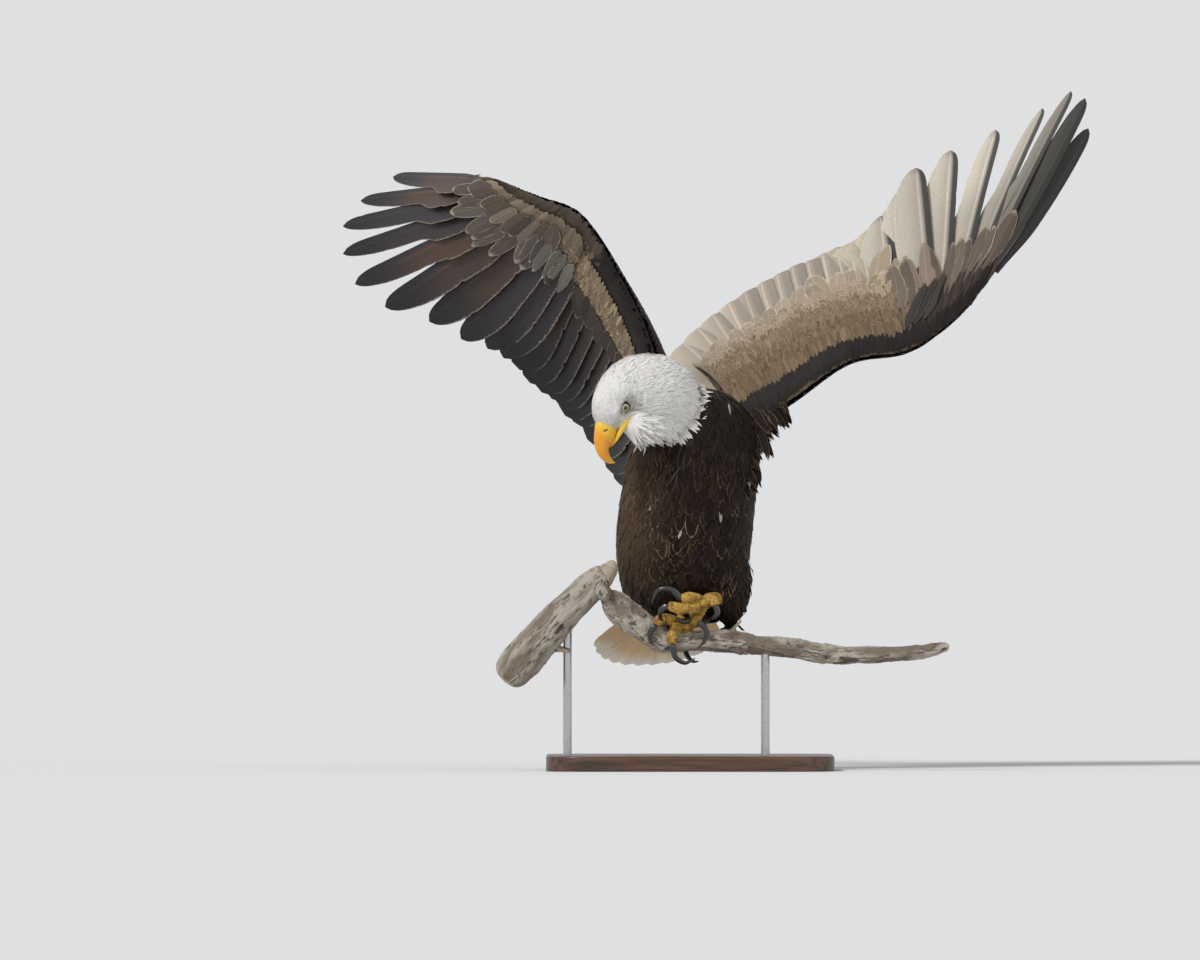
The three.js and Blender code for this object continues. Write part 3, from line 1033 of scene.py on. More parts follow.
@dataclass(frozen=True)
class PlainFinish(Finish):
    """One colour with a light grain.

    Attributes:
        colour: its colour.
        roughness: its roughness.
        metallic: 1 for bare metal.
        coat: weight of a clear coat.
        grain: strength of the relief.
        scale: fineness of the grain.
    """

    colour: Colour
    roughness: float = 0.5
    metallic: float = 0.0
    coat: float = 0.0
    grain: float = 0.1
    scale: float = 300.0

    def make(self) -> Material:
        """Makes the material.

        Returns:
            The material.
        """
        shader = Shader(self.name, Metallic=self.metallic, Coat_Weight=self.coat, Coat_Roughness=0.1)
        grain = shader.noise(self.scale)
        dark = tuple(c * 0.75 for c in self.colour)
        shader.feed(Base_Color=shader.colour(dark, self.colour, grain.step(0.3, 0.6)))
        shader.feed(Roughness=grain * 0.15 + (self.roughness - 0.07))
        shader.bump(grain, self.grain, 0.0005)
        return shader.material


class BarkFinish(Finish):
    """Weathered bark or bare wood: its own tint with dark and pale blotches."""

    def make(self) -> Material:
        """Makes the material.

        Returns:
            The material.
        """
        shader = Shader(self.name, Specular_IOR_Level=0.2)
        tint = shader.attribute("tint")
        blotch = shader.noise(38.0, 6.0, rough=0.7)
        fine = shader.noise(340.0, 4.0, rough=0.7)
        body = shader.colour(tint, (0.045, 0.03, 0.022), blotch.step(0.56, 0.72) * 0.75)
        body = shader.colour(body, (0.55, 0.52, 0.47), blotch.step(0.34, 0.2) * 0.5)
        shader.feed(Base_Color=shader.colour(body, (0.03, 0.02, 0.015), fine.step(0.55, 0.8) * 0.5))
        shader.feed(Roughness=0.85)
        shader.bump(fine, 0.6, 0.0015)
        shader.bump(blotch, 0.5, 0.003)
        return shader.material


@dataclass(frozen=True)
class WoodFinish(Finish):
    """Oiled dark wood with long grain.

    Attributes:
        dark: the colour of pores and dark bands.
        light: the colour of light bands.
    """

    dark: Colour = (0.035, 0.015, 0.007)
    light: Colour = (0.11, 0.05, 0.024)

    def make(self) -> Material:
        """Makes the material.

        Returns:
            The material.
        """
        shader = Shader(self.name, Coat_Weight=0.2, Coat_Roughness=0.25)
        bands = shader.noise(26.0, 5.0, (0.35, 5.0, 5.0), 0.6)
        pores = shader.noise(420.0, 3.0, (0.08, 1.0, 1.0))
        body = shader.colour(self.dark, self.light, bands.step(0.32, 0.68))
        shader.feed(Base_Color=shader.colour(body, self.dark, pores.step(0.55, 0.75) * 0.6))
        shader.feed(Roughness=pores * 0.15 + 0.35)
        shader.bump(pores, 0.15, 0.0005)
        return shader.material


@dataclass(frozen=True)
class EyeFinish(Finish):
    """The eye: a black pupil, a pale yellow iris and its dark rim, by distance from the sight line.

    Attributes:
        middle: the eyeball's middle.
        gaze: the direction it looks in.
        radius: the eyeball's radius.
    """

    middle: Point
    gaze: Point
    radius: float

    def make(self) -> Material:
        """Makes the material.

        Returns:
            The material.
        """
        shader = Shader(self.name, Coat_Weight=1.0, Coat_Roughness=0.02, Roughness=0.3)
        offset = shader.vector("SUBTRACT", shader.place(), self.middle)
        depth = shader.vector("DOT_PRODUCT", offset, self.gaze, out="Value") / self.radius
        streaks = shader.noise(900.0, 3.0)
        iris = shader.colour((0.5, 0.41, 0.12), (0.82, 0.76, 0.42), streaks.step(0.35, 0.65))
        rim = shader.colour((0.02, 0.017, 0.014), iris, depth.step(0.73, 0.755))
        shader.feed(Base_Color=shader.colour(rim, (0.004, 0.004, 0.004), depth.step(0.945, 0.955)))
        return shader.material


# ---------------- skin


@dataclass(frozen=True)
class Limb:
    """A rounded part of the body.

    Attributes:
        name: its name.
        spine: its middle line, in the direction in which its feathers lie.
        widths: half-widths over the feathers, in millimetres.
        depths: half-depths, likewise.
        across: the direction of its width.
        coat: how far the feathers stand off the skin, in millimetres.
    """

    name: str
    spine: Array
    widths: tuple
    depths: tuple
    across: Point
    coat: float

    def skin(self, sides: int = 40, rings: int = 36) -> Piece:
        """Shapes its skin, inside its feathers by the coat.

        Args:
            sides: faces round it.
            rings: faces along it.

        Returns:
            The skin.
        """
        widths, depths = ([(r - self.coat) * MM for r in row] for row in (self.widths, self.depths))
        return loft(self.name, tube(self.spine, widths, depths, self.across), sides, rings)

    def nearness(self, points: Array) -> tuple[Array, Array, Array]:
        """How near points are to it.

        Args:
            points: the points.

        Returns:
            Each point's distance as a share of the limb's radius, its place along it, and the spine's
            direction there.
        """
        t = np.linspace(0, 1, 41)
        middle = spline(self.spine, t)
        radius = (along(self.widths, t) + along(self.depths, t)) / 2 * MM
        reach = np.linalg.norm(points[:, None] - middle[None], axis=2) / radius
        nearest = reach.argmin(axis=1)
        return reach.min(axis=1), t[nearest], unit(np.gradient(middle, axis=0))[nearest]


YAW = math.radians(18)
BODY_LEFT = (math.cos(YAW), math.sin(YAW), 0.0)
HEAD_LEFT = tuple(HEAD.axes()[1])

SKULL = Limb(
    "skull",
    HEAD.at([42, 32, 18, 0, -26, -50, -62], 0, [-1, 1, 4, 6, 8, 6, 4]),
    (14, 20, 26, 30, 38, 37, 30),
    (16, 25, 34, 39, 36, 32, 28),
    HEAD_LEFT,
    1.6,
)
NECK = Limb(
    "neck",
    mm(
        (-110, -121, 622), (-92, -112, 617), (-70, -99, 605), (-50, -82, 598), (-32, -60, 590),
        (-22, -34, 580),
    ),
    (32, 51, 66, 66, 62, 52),
    (29, 46, 54, 56, 53, 46),
    (0, 0, 1),
    4,
)
CHEEK = Limb(
    "cheek",
    mm((-108, -118, 606), (-92, -112, 608), (-76, -104, 606), (-58, -92, 603)),
    (49, 56, 61, 61),
    (41, 48, 50, 52),
    (0, 0, 1),
    3,
)
NAPE = Limb(
    "nape",
    mm((-112, -120, 612), (-98, -108, 614), (-80, -92, 608), (-62, -78, 602)),
    (36, 43, 50, 54),
    (34, 38, 38, 42),
    (0, 0, 1),
    0,
)
JOWL = Limb(
    "jowl",
    mm((-106, -118, 573), (-92, -113, 572), (-78, -107, 571), (-62, -96, 569), (-48, -84, 567)),
    (27, 32, 38, 41, 40),
    (20, 24, 26, 26, 24),
    (0, 0, 1),
    2,
)
THROAT = Limb(
    "throat",
    mm((-108, -132, 553), (-86, -122, 554), (-62, -102, 557), (-36, -74, 564)),
    (16, 30, 36, 38),
    (18, 32, 38, 38),
    (0, 0, 1),
    4,
)
TRUNK = Limb(
    "trunk",
    mm(
        (32, -8, 612), (24, -12, 568), (8, -8, 510), (-2, 6, 440), (-10, 22, 370), (-14, 36, 312),
        (-22, 50, 262), (-26, 58, 226),
    ),
    tuple(110 * share for share in (0.42, 0.8, 0.98, 1.02, 1.03, 0.97, 0.78, 0.42)),
    tuple(100 * share for share in (0.4, 0.76, 0.96, 1.02, 1.03, 0.96, 0.74, 0.4)),
    BODY_LEFT,
    5.5,
)
THIGHS = (
    Limb(
        "right_thigh",
        mm((-50, 6, 350), (-48, -14, 300), (-42, -22, 262), (-34, -26, 236)),
        (44, 46, 32, 14),
        (44, 46, 32, 14),
        BODY_LEFT,
        5,
    ),
    Limb(
        "left_thigh",
        mm((50, 14, 350), (57, -6, 295), (62, -12, 256), (63, -12, 232)),
        (44, 44, 30, 10),
        (44, 44, 30, 10),
        BODY_LEFT,
        5,
    ),
)
RUMP = Limb(
    "rump",
    mm((-8, 40, 290), (-12, 90, 268), (-22, 140, 240), (-34, 180, 222)),
    (76, 66, 48, 34),
    (56, 42, 24, 9),
    BODY_LEFT,
    5,
)
BODY = (SKULL, NECK, THROAT, TRUNK, *THIGHS, RUMP)
EYE_ASIDE = 22  # distance of the eyes from the head's middle plane, in millimetres
EYE_RADIUS = 0.0095
LID_LONG, LID_HIGH = 1.12, 0.9  # the lids' length and height, as shares of a circle's
EYES = {side: HEAD.at(0, side.sign * EYE_ASIDE, 0) for side in Side}
HOOD_FOOT = 0.536  # height at which the white hood ends on the throat, in metres
HOOD_BACK = 0.008  # x at which it ends on the shoulder


def eye_gap(points: Array) -> Array:
    """Each point's distance from the nearer eye's middle."""
    return np.minimum(*(np.linalg.norm(points - EYES[side], axis=1) for side in Side))


def ridge(name: str, side: Side, path: tuple, girth: Array, sides: int, rings: int) -> Piece:
    """Shapes a fleshy ridge on one side of the head.

    Args:
        name: its name.
        side: the bird's side that it is on.
        path: its middle line on the left side: distances forward, left and up, in millimetres.
        girth: its half-widths and half-depths.
        sides: faces round it.
        rings: faces along it.

    Returns:
        The ridge.
    """
    forward, aside, up = path
    middle = HEAD.at(forward, np.array(aside) * side.sign, up)
    return loft(name, tube(middle, *girth, HEAD_LEFT), sides, rings)


@dataclass(frozen=True)
class Foot:
    """A foot with its toes and claws.

    Attributes:
        side: the bird's side that it is on.
        shank: middle line of the bare leg.
        ball: middle of the foot, in millimetres.
        toes: middle lines of the toes.
        claws: middle lines of the claws.
        toe_radii: radius of the toes along their length, in millimetres.
        claw_radii: radius of the claws, likewise.
    """

    side: Side
    shank: Array
    ball: Point
    toes: tuple
    claws: tuple
    toe_radii: tuple = (9.5, 8.6, 8.8, 7.2)
    claw_radii: tuple = (5.6, 4.6, 3.2, 0.8)

    def skin(self) -> list[Piece]:
        """Shapes the shank, the ball and the toes.

        Returns:
            Their skins.
        """
        girth = mm((15, 11.5, 11), (15, 10.5, 12))
        shank = loft("shank", tube(self.shank, *girth, (0, 1, 0.2)), 24, 24)
        middle = np.array(self.ball) * MM
        ball = loft("ball", lambda t, a: middle + sphere(t, a) * (0.0145, 0.0145, 0.0118), 24, 16)
        return [shank, ball, *(self._toe(joints) for joints in self.toes)]

    def _toe(self, joints: Array) -> Piece:
        """Shapes one toe, with pads under the joints and ridges over the scutes.

        Args:
            joints: its middle line.

        Returns:
            Its skin.
        """
        radii = np.array(self.toe_radii) * MM
        plain = tube(joints, radii, radii * 0.92, (0.3, 0.2, 1))

        def place(t: Array, angle: Array) -> Array:
            """Places the toe's skin, swollen at its joints and stepped by its scutes.

            Args:
                t: places along it.
                angle: angles round it.

            Returns:
                The points.
            """
            middle = spline(joints, t)
            under = np.clip(-(plain(t, angle) - middle)[:, 2] / radii[0], 0, 1)
            swell = 0.16 * under * np.cos(t * 3 * 2 * np.pi) ** 2
            scute = 0.13 * (1 - under) * (((t * 9) % 1) - 0.5)
            return middle + (plain(t, angle) - middle) * (1 + swell + scute)[:, None]

        return loft("toe", place, 28, 54)

    def dress_claws(self, material: Material) -> None:
        """Builds the claws.

        Args:
            material: their finish.
        """
        radii = np.array(self.claw_radii) * MM
        for number, hook in enumerate(self.claws, 1):
            name = f"claw_{self.side.value}_{number}"
            claw = loft(name, tube(hook, radii * 0.86, radii, (0.3, 0.9, 0.2)), 20, 36)
            finish_piece(claw, material, "claw", name)


FEET = (
    Foot(
        Side.RIGHT,
        mm((-34, 0, 262), (-28, -22, 248), (-14, -50, 234)),
        (-8, -58, 230),
        (
            mm((-10, -60, 230), (-22, -78, 228), (-29, -88, 214), (-29, -89, 202)),
            mm((-6, -60, 231), (4, -74, 238), (9, -84, 241), (13, -90, 238)),
            mm((-12, -60, 232), (-30, -70, 240), (-46, -80, 242), (-56, -86, 234)),
            mm((-8, -52, 230), (-8, -36, 226), (-8, -31, 214), (-8, -31, 204)),
        ),
        (
            mm((-29, -89, 203), (-24, -87, 182), (-8, -78, 172), (9, -70, 180)),
            mm((12, -90, 239), (26, -92, 224), (23, -90, 208), (12, -86, 196)),
            mm((-55, -86, 234), (-64, -87, 220), (-64, -84, 208), (-58, -82, 199)),
            mm((-8, -31, 205), (-6, -36, 186), (3, -48, 175), (14, -60, 174)),
        ),
    ),
    Foot(
        Side.LEFT,
        mm((54, -8, 268), (42, -40, 274), (26, -74, 272)),
        (20, -82, 268),
        (
            mm((16, -86, 272), (4, -96, 276), (-6, -102, 276), (-15, -105, 272)),
            mm((14, -90, 264), (-2, -100, 260), (-20, -109, 260), (-36, -112, 265)),
            mm((24, -86, 268), (32, -92, 273), (38, -96, 270), (40, -98, 263)),
            mm((20, -78, 264), (16, -72, 254), (8, -74, 246), (2, -78, 242)),
        ),
        (
            mm((-14, -105, 272), (-29, -107, 289), (-51, -105, 288), (-63, -98, 264)),
            mm((-35, -112, 265), (-47, -110, 256), (-48, -102, 245), (-42, -96, 238)),
            mm((40, -98, 264), (43, -99, 252), (38, -95, 245), (31, -90, 242)),
            mm((2, -78, 243), (-8, -84, 238), (-18, -92, 240), (-22, -98, 246)),
        ),
    ),
)


class Zone(IntEnum):
    """A part of the coat with its own kind of feather."""

    FACE = 0
    NAPE = 1
    CHEST = 2
    BREAST = 3
    THIGH = 4
    RUMP = 5
    BARE = 6
    WING = 7


@dataclass
class Skin:
    """The one skin under all the feathers, and what the coat needs to know of it.

    Attributes:
        fine: edge of the skin's mesh on the head, in metres.
        coarse: edge elsewhere.
        white: colour under the white plumage.
        dark: colour under the dark plumage.
        mantle: colour under the wings' coverts.
        foot: colour of the bare feet.
        lore: colour of the bare skin before the eye.
        rim: colour of the lids.
        toe_reach: distance from a toe's middle line at which the skin is bare, in metres.
        limb_reach: distance from the body's limbs, as a share of their radius, beyond which it is a wing's.
        piece: the skin itself.
        tree: the skin as a search tree.
    """

    fine: float = 0.002
    coarse: float = 0.0045
    white: Colour = (0.72, 0.7, 0.67)
    dark: Colour = (0.016, 0.012, 0.01)
    mantle: Colour = (0.17, 0.125, 0.08)
    foot: Colour = (0.82, 0.5, 0.1)
    lore: Colour = (0.56, 0.53, 0.38)
    rim: Colour = (0.05, 0.045, 0.035)
    toe_reach: float = 0.0135
    limb_reach: float = 1.22
    piece: Piece = field(init=False)
    tree: BVHTree = field(init=False)

    def build(self) -> None:
        """Builds the skin from its parts, marks it and unwraps it."""
        head = self._one(self._head_parts(), "skin_head", self.fine, 26)
        self._sink_eyes(head)
        limbs = [limb.skin() for limb in BODY[3:]]
        arms = [loft("arm", wing.flesh, 32, 90) for wing in WINGS]
        body = self._one([*limbs, *arms], "skin", self.coarse, 8)
        feet = [part for foot in FEET for part in foot.skin()]
        lids = [self._lid(side) for side in Side]
        bare = join([*feet, *lids], "skin_bare")
        self.piece = join([body, head, bare], "skin")
        self._mark()
        with edit_mode(self.piece):
            bpy.ops.mesh.normals_make_consistent(inside=False)
            bpy.ops.uv.smart_project(angle_limit=math.radians(66), island_margin=0.002)
        layers = self.piece.data.uv_layers
        while len(layers) > 1:
            layers.remove(layers[-1])
        layers[0].name = BAKE_MAP
        smooth_shade(self.piece)
        self.tree = BVHTree.FromObject(self.piece, bpy.context.evaluated_depsgraph_get())
        parts = ("thigh", "foot", "upper_arm", "forearm", "hand")
        pairs = [f"{part}_{side.value}" for part in parts for side in Side]
        finish_piece(self.piece, SkinFinish("skin").make(), DARK, "head", "neck", "trunk", "rump", *pairs)

    def _head_parts(self) -> list[Piece]:
        """Shapes the skull, the neck with its cheeks and throat, and a brow over each eye.

        Returns:
            Their skins.
        """
        path = (29, 16, 3, -11, -26), (14, 23.5, 30, 31.5, 29.5), (5, 7.8, 9.6, 10.5, 9.5)
        girth = mm((2, 4.2, 5.2, 4.8, 3), (2, 3, 3.2, 3.2, 3))
        brows = [ridge("brow", side, path, girth, 16, 20) for side in Side]
        return [*(limb.skin() for limb in (SKULL, NECK, CHEEK, NAPE, JOWL, THROAT)), *brows]

    def _sink_eyes(self, head: Piece) -> None:
        """Presses a shallow socket round each eye.

        Args:
            head: the head's skin.
        """
        points = points_of(head)
        forward, left, up = HEAD.inside(points).T
        round_eye = np.hypot(forward / LID_LONG, up / LID_HIGH)
        sink = 2.4 * MM * smooth(round_eye, 11.5, 8.5) * np.sign(left) * (np.abs(left) > 12)
        move_points(head, points - HEAD.axes()[1] * sink[:, None])

    def _lid(self, side: Side) -> Piece:
        """Shapes the rim of skin round an eye, a little longer than high.

        Args:
            side: the eye's side.

        Returns:
            The rim.
        """

        def place(t: Array, angle: Array) -> Array:
            """Places the rim, a ring that hugs the eyeball.

            Args:
                t: places round the eye.
                angle: angles round the rim.

            Returns:
                The points.
            """
            turn = t * 2 * np.pi
            reach = 8.3 + 1.4 * np.cos(angle)
            lift = 5.6 + 1.2 * np.sin(angle)
            slant = 0.12 * np.cos(turn) * reach
            up = reach * LID_HIGH * np.sin(turn) + slant
            return HEAD.at(reach * LID_LONG * np.cos(turn), side.sign * (EYE_ASIDE + lift), up)

        return ring("lid", place, 64, 10)

    def _one(self, parts: list[Piece], name: str, edge: float, rounds: int) -> Piece:
        """Melts parts into one body.

        Args:
            parts: the parts.
            name: the body's name.
            edge: its faces' size, in metres.
            rounds: how many times it is smoothed.

        Returns:
            The body.
        """
        whole = join(parts, name)
        apply_modifier(whole, "REMESH", mode="VOXEL", voxel_size=edge, use_smooth_shade=True)
        apply_modifier(whole, "SMOOTH", factor=0.5, iterations=rounds)
        return whole

    def _mark(self) -> None:
        """Colours the skin as the coat over it."""
        points = points_of(self.piece)
        zones, _, _ = self.zones(points)
        bare_foot = zones == Zone.BARE
        colours = np.tile(np.array(self.dark), (len(points), 1))
        colours[np.isin(zones, (Zone.FACE, Zone.NAPE, Zone.RUMP))] = self.white
        colours[(zones == Zone.WING) & (points[:, 1] > -0.005)] = self.mantle
        colours[bare_foot] = self.foot
        forward, _, up = HEAD.inside(points).T
        gap = eye_gap(points)
        bare = smooth(forward, 12, 30) * smooth(up, 8, -2) * (zones == Zone.FACE)
        bare = np.maximum(bare, smooth(gap, 0.0155, 0.013))[:, None]
        colours = mix(mix(colours, self.lore, bare), self.rim, smooth(gap, 0.0114, 0.0106)[:, None])
        colour_points(self.piece, "tint", colours)
        colour_points(self.piece, "rim", np.repeat(bare_foot.astype(float)[:, None], 3, axis=1))

    def zones(self, points: Array) -> tuple[Array, Array, Array]:
        """Says what grows where.

        Args:
            points: places on the skin.

        Returns:
            Each place's zone, its place along its limb, and the direction that feathers lie in.
        """
        reach, t, lie = (np.array(rows) for rows in zip(*(limb.nearness(points) for limb in BODY)))
        reach[1:3] -= 0.09  # the neck and the throat win over the skull and the trunk
        nearest = reach.argmin(axis=0)
        weight = np.exp(-((reach - reach.min(axis=0)) / 0.12) ** 2)[..., None]
        flow = unit((lie * weight).sum(axis=0))
        kinds = (Zone.FACE, Zone.NAPE, Zone.NAPE, Zone.BREAST, Zone.THIGH, Zone.THIGH, Zone.RUMP)
        zones = np.array(kinds)[nearest]
        on_skull, on_trunk = nearest == 0, nearest == 3
        x, y, z = points.T
        # The nape starts behind the crown, and the chest is the upper breast with its right side.
        zones[on_skull & (HEAD.inside(points)[:, 0] < -22)] = Zone.NAPE
        zones[(zones == Zone.BREAST) & ((z > 0.44) | ((x < -0.06) & (z > 0.3)))] = Zone.CHEST
        # The chin's white runs onto the trunk, but none grows on the shoulder, the right arm or the chest.
        zones[on_trunk & (x < -0.06) & (y < -0.09) & (z > HOOD_FOOT)] = Zone.NAPE
        beyond = (x > HOOD_BACK) | ((y > -0.07) & (z > 0.645)) | (z < HOOD_FOOT)
        zones[(zones == Zone.NAPE) & beyond] = Zone.CHEST
        zones[reach.min(axis=0) > self.limb_reach] = Zone.WING
        for foot in FEET:
            paths = [spline(joints, np.linspace(0, 1, 9)) for joints in (*foot.toes, foot.shank[1:])]
            gap = np.linalg.norm(points[:, None] - np.concatenate(paths)[None], axis=2).min(axis=1)
            zones[gap < self.toe_reach] = Zone.BARE
        fan = unit(points - BILL_BASE)
        fan[:, 2] -= mix(0.25, 0.9, smooth(z, 0.565, 0.54))
        hood = np.isin(zones, (Zone.FACE, Zone.NAPE))
        flow[hood] = unit(fan + flow * 0.35)[hood]
        return zones, t[nearest, np.arange(len(points))], flow

    def hold(self, flat: Array, off: Array) -> Array:
        """Lays points on the skin.

        Args:
            flat: points near the skin.
            off: how far off it each ends up.

        Returns:
            The laid points.
        """
        rows = flat.reshape(-1, 3)
        laid = np.empty_like(rows)
        for i, (row, rise) in enumerate(zip(rows, off.ravel())):
            place, normal, _, _ = self.tree.find_nearest(row)
            laid[i] = place + normal * rise
        return laid.reshape(flat.shape)

    def unwrap(self, points: Array) -> Array:
        """Finds the skin nearest to points on the bake map.

        Args:
            points: the points.

        Returns:
            The map's place for each.
        """
        mesh = self.piece.data
        layer = mesh.uv_layers[BAKE_MAP].data
        places = np.empty((len(points), 2))
        for i, point in enumerate(points):
            spot, _, face, _ = self.tree.find_nearest(point)
            polygon = mesh.polygons[face]
            corners = np.array([mesh.vertices[v].co for v in polygon.vertices])
            share = 1 / (np.linalg.norm(corners - np.array(spot), axis=1) + 1e-6)
            maps = np.array([layer[loop].uv for loop in polygon.loop_indices])
            places[i] = (maps * share[:, None]).sum(axis=0) / share.sum()
        return places


# ---------------- body plumage


@dataclass(frozen=True)
class Tract:
    """A tract of body feathers of one kind.

    Attributes:
        name: its name.
        zone: where it grows.
        shape: the feathers' shape.
        spacing: distance between roots, in metres.
        length: the feathers' length, in metres.
        width: their width.
        slot: the record's material slot.
        lift: how far they lie off the skin, in metres.
        tuft: how far their tips draw together, 0 to 1.
        vary: how much their size differs.
    """

    name: str
    zone: Zone
    shape: Vane
    spacing: float
    length: float
    width: float
    slot: str
    lift: float = 0.0006
    tuft: float = 0.0
    vary: float = 0.12


FACE = Vane(rows=5, columns=3, end=0.2, ragged=0.2, cup=0.05, slope=0.045, sink=0.0003)
HACKLE = Vane(rows=7, columns=4, rise=0.2, blunt=1.3, end=0.08, cup=0.05, ragged=0.16, slope=0.042)
STREAK = Vane(rows=8, columns=5, rise=0.25, blunt=1.7, end=0.1, cup=0.08, ragged=0.12, slope=0.045)
CONTOUR = Vane(rows=8, columns=7, rise=0.3, blunt=2.6, end=0.12, cup=0.07, ragged=0.08, slope=0.045)
LOOSE = Vane(rows=8, columns=5, rise=0.2, blunt=1.5, end=0.1, cup=0.2, ragged=0.3, slope=0.1)

TRACTS = (
    Tract("face_feathers", Zone.FACE, FACE, 0.002, 0.009, 0.0032, WHITE, vary=0.2),
    Tract("nape_hackles", Zone.NAPE, HACKLE, 0.0027, 0.036, 0.006, WHITE, 0.0012, 0.6, 0.2),
    Tract("chest_feathers", Zone.CHEST, STREAK, 0.0068, 0.04, 0.0125, DARK, 0.0006, 0.2),
    Tract("breast_feathers", Zone.BREAST, CONTOUR, 0.0085, 0.037, 0.018, DARK),
    Tract("thigh_feathers", Zone.THIGH, LOOSE, 0.0066, 0.036, 0.011, DARK, 0.0006, 0.4),
    Tract("tail_coverts", Zone.RUMP, CONTOUR, 0.0095, 0.05, 0.026, WHITE),
)


@dataclass
class Plumage:
    """The feathers of head, neck, trunk, thighs and rump.

    Attributes:
        skin: what they grow on.
        rng: the source of chance.
        white: colour of the white vanes.
        white_rim: colour of their edges.
        brown: colour of the dark vanes.
        brown_rim: colour of their edges.
        warm: colour of the painted sunlight that the edges take on the right flank, the lit side; the back's
            feathers take it too.
        axillary_rim: colour of the edges under the left wing.
        pale: colour of a few whole feathers there.
        hanging: number of loose feathers at the root of the left wing.
        flecks: where single pale feathers lie on the front, across and up, in millimetres.
        fleck: their colour.
        eye_room: distance that feathers keep from the eyes' middles, in metres.
    """

    skin: Skin
    rng: np.random.Generator
    white: Colour = (0.84, 0.82, 0.785)
    white_rim: Colour = (0.92, 0.905, 0.88)
    brown: Colour = (0.016, 0.0105, 0.008)
    brown_rim: Colour = (0.1, 0.067, 0.043)
    warm: Colour = (0.24, 0.15, 0.085)
    axillary_rim: Colour = (0.12, 0.09, 0.066)
    pale: Colour = (0.36, 0.34, 0.28)
    hanging: int = 190
    flecks: tuple = ((53, 431), (-8, 404), (-67, 444), (60, 592))
    fleck: Colour = (0.42, 0.39, 0.34)
    eye_room: float = 0.0126

    def build(self) -> None:
        """Builds every tract."""
        points, normals = (points_of(self.skin.piece, what) for what in ("co", "normal"))
        zones, _, flow = self.skin.zones(points)
        soft = {"roughness": 0.6, "edge": 0.82, "barbs": 0.2, "sheen": 0.1, "shaft": -0.1}
        firm = {"roughness": 0.55, "edge": 0.8, "barbs": 0.3, "shaft": 0.12, "tip": 0.92, "gloss": 0.08}
        vanes = {
            WHITE: VaneFinish("white_vanes", **soft).make(),
            DARK: VaneFinish("brown_vanes", **firm).make(),
        }
        self._axillaries(vanes[DARK])
        for tract in TRACTS:
            allowed = (zones == tract.zone) & self._clear(points, tract)
            chosen = self._scatter(points, allowed, self._spacing(tract, points))
            piece = self._grow(tract, points[chosen], normals[chosen], flow[chosen])
            finish_piece(piece, vanes[tract.slot], tract.slot)

    def _axillaries(self, material: Material) -> None:
        """Builds the ragged feathers that hang from the root of the left wing.

        Args:
            material: their finish.
        """
        count = self.hanging
        place = self.rng.random(count)
        roots = spline(mm((82, -44, 466), (98, -30, 510), (122, -12, 556), (150, 6, 584)), place)
        roots += self.rng.random((count, 1)) * (-0.03, 0.0, 0.01) + self.rng.normal(0, 0.003, roots.shape)
        lie = unit(np.array((0.4, 0.1, -0.9)) + self.rng.normal(0, 0.16, roots.shape))
        size = np.exp(self.rng.normal(0, 0.2, count)) * mix(1.0, 0.75, place)
        tint = shade_of(self.brown, count, self.rng, 0.4)
        rim = shade_of(self.axillary_rim, count, self.rng, 0.5)
        tint[self.rng.random(count) < 0.04] = self.pale
        batch = Feathers(LOOSE, 0.046 * size, 0.013 * size, tint, rim)
        run, aside, off = batch.lay_out(self.rng)
        across = unit(np.cross(lie, (0.2, -1.0, 0.1)))
        steps = ((lie, run), (across, aside), (np.cross(across, lie), off))
        points = roots[:, None, None] + sum(axis[:, None, None] * step[..., None] for axis, step in steps)
        finish_piece(batch.as_object("axillaries", points, self.skin.unwrap(roots)), material, DARK)

    def _clear(self, points: Array, tract: Tract) -> Array:
        """Keeps feathers off the eyes, the gape, the bill's base and, if they are dark, the hood's edge.

        Args:
            points: places on the skin.
            tract: the kind of feather.

        Returns:
            Whether each place may carry one.
        """
        x, y, z = points.T
        if tract.zone is Zone.CHEST:
            return (x > 0.013) | (y > -0.05) | (z < 0.527)
        if tract.zone is not Zone.FACE:
            return np.ones(len(points), bool)
        forward, left, up = HEAD.inside(points).T
        gape = (forward > -6) & (up < -13) & (up > -24) & (np.abs(left) > 12)
        lore = (forward > 20 - up * 0.4) & (up < 5) & (up > -24)
        return (eye_gap(points) > self.eye_room) & ~gape & ~lore & (forward < 38)

    def _spacing(self, tract: Tract, points: Array) -> Array:
        """Spaces out the roots, closest round the bill.

        Args:
            tract: the kind of feather.
            points: places on the skin.

        Returns:
            The distance between roots at each place.
        """
        if tract.zone is not Zone.FACE:
            return np.full(len(points), tract.spacing)
        return tract.spacing * mix(0.75, 1.35, smooth(HEAD.inside(points)[:, 0], 25, -20))

    def _scatter(self, points: Array, allowed: Array, spacing: Array) -> Array:
        """Picks points so that no two are nearer than their spacing.

        Args:
            points: the skin's vertices.
            allowed: which of them may be picked.
            spacing: the distance to keep at each.

        Returns:
            The numbers of the picked vertices.
        """
        tree = KDTree(len(points))
        for i, point in enumerate(points):
            tree.insert(point, i)
        tree.balance()
        free = allowed.copy()
        picked = []
        for i in self.rng.permutation(np.flatnonzero(allowed)):
            if free[i]:
                picked.append(i)
                for _, j, _ in tree.find_range(points[i], spacing[i]):
                    free[j] = False
        return np.array(picked)

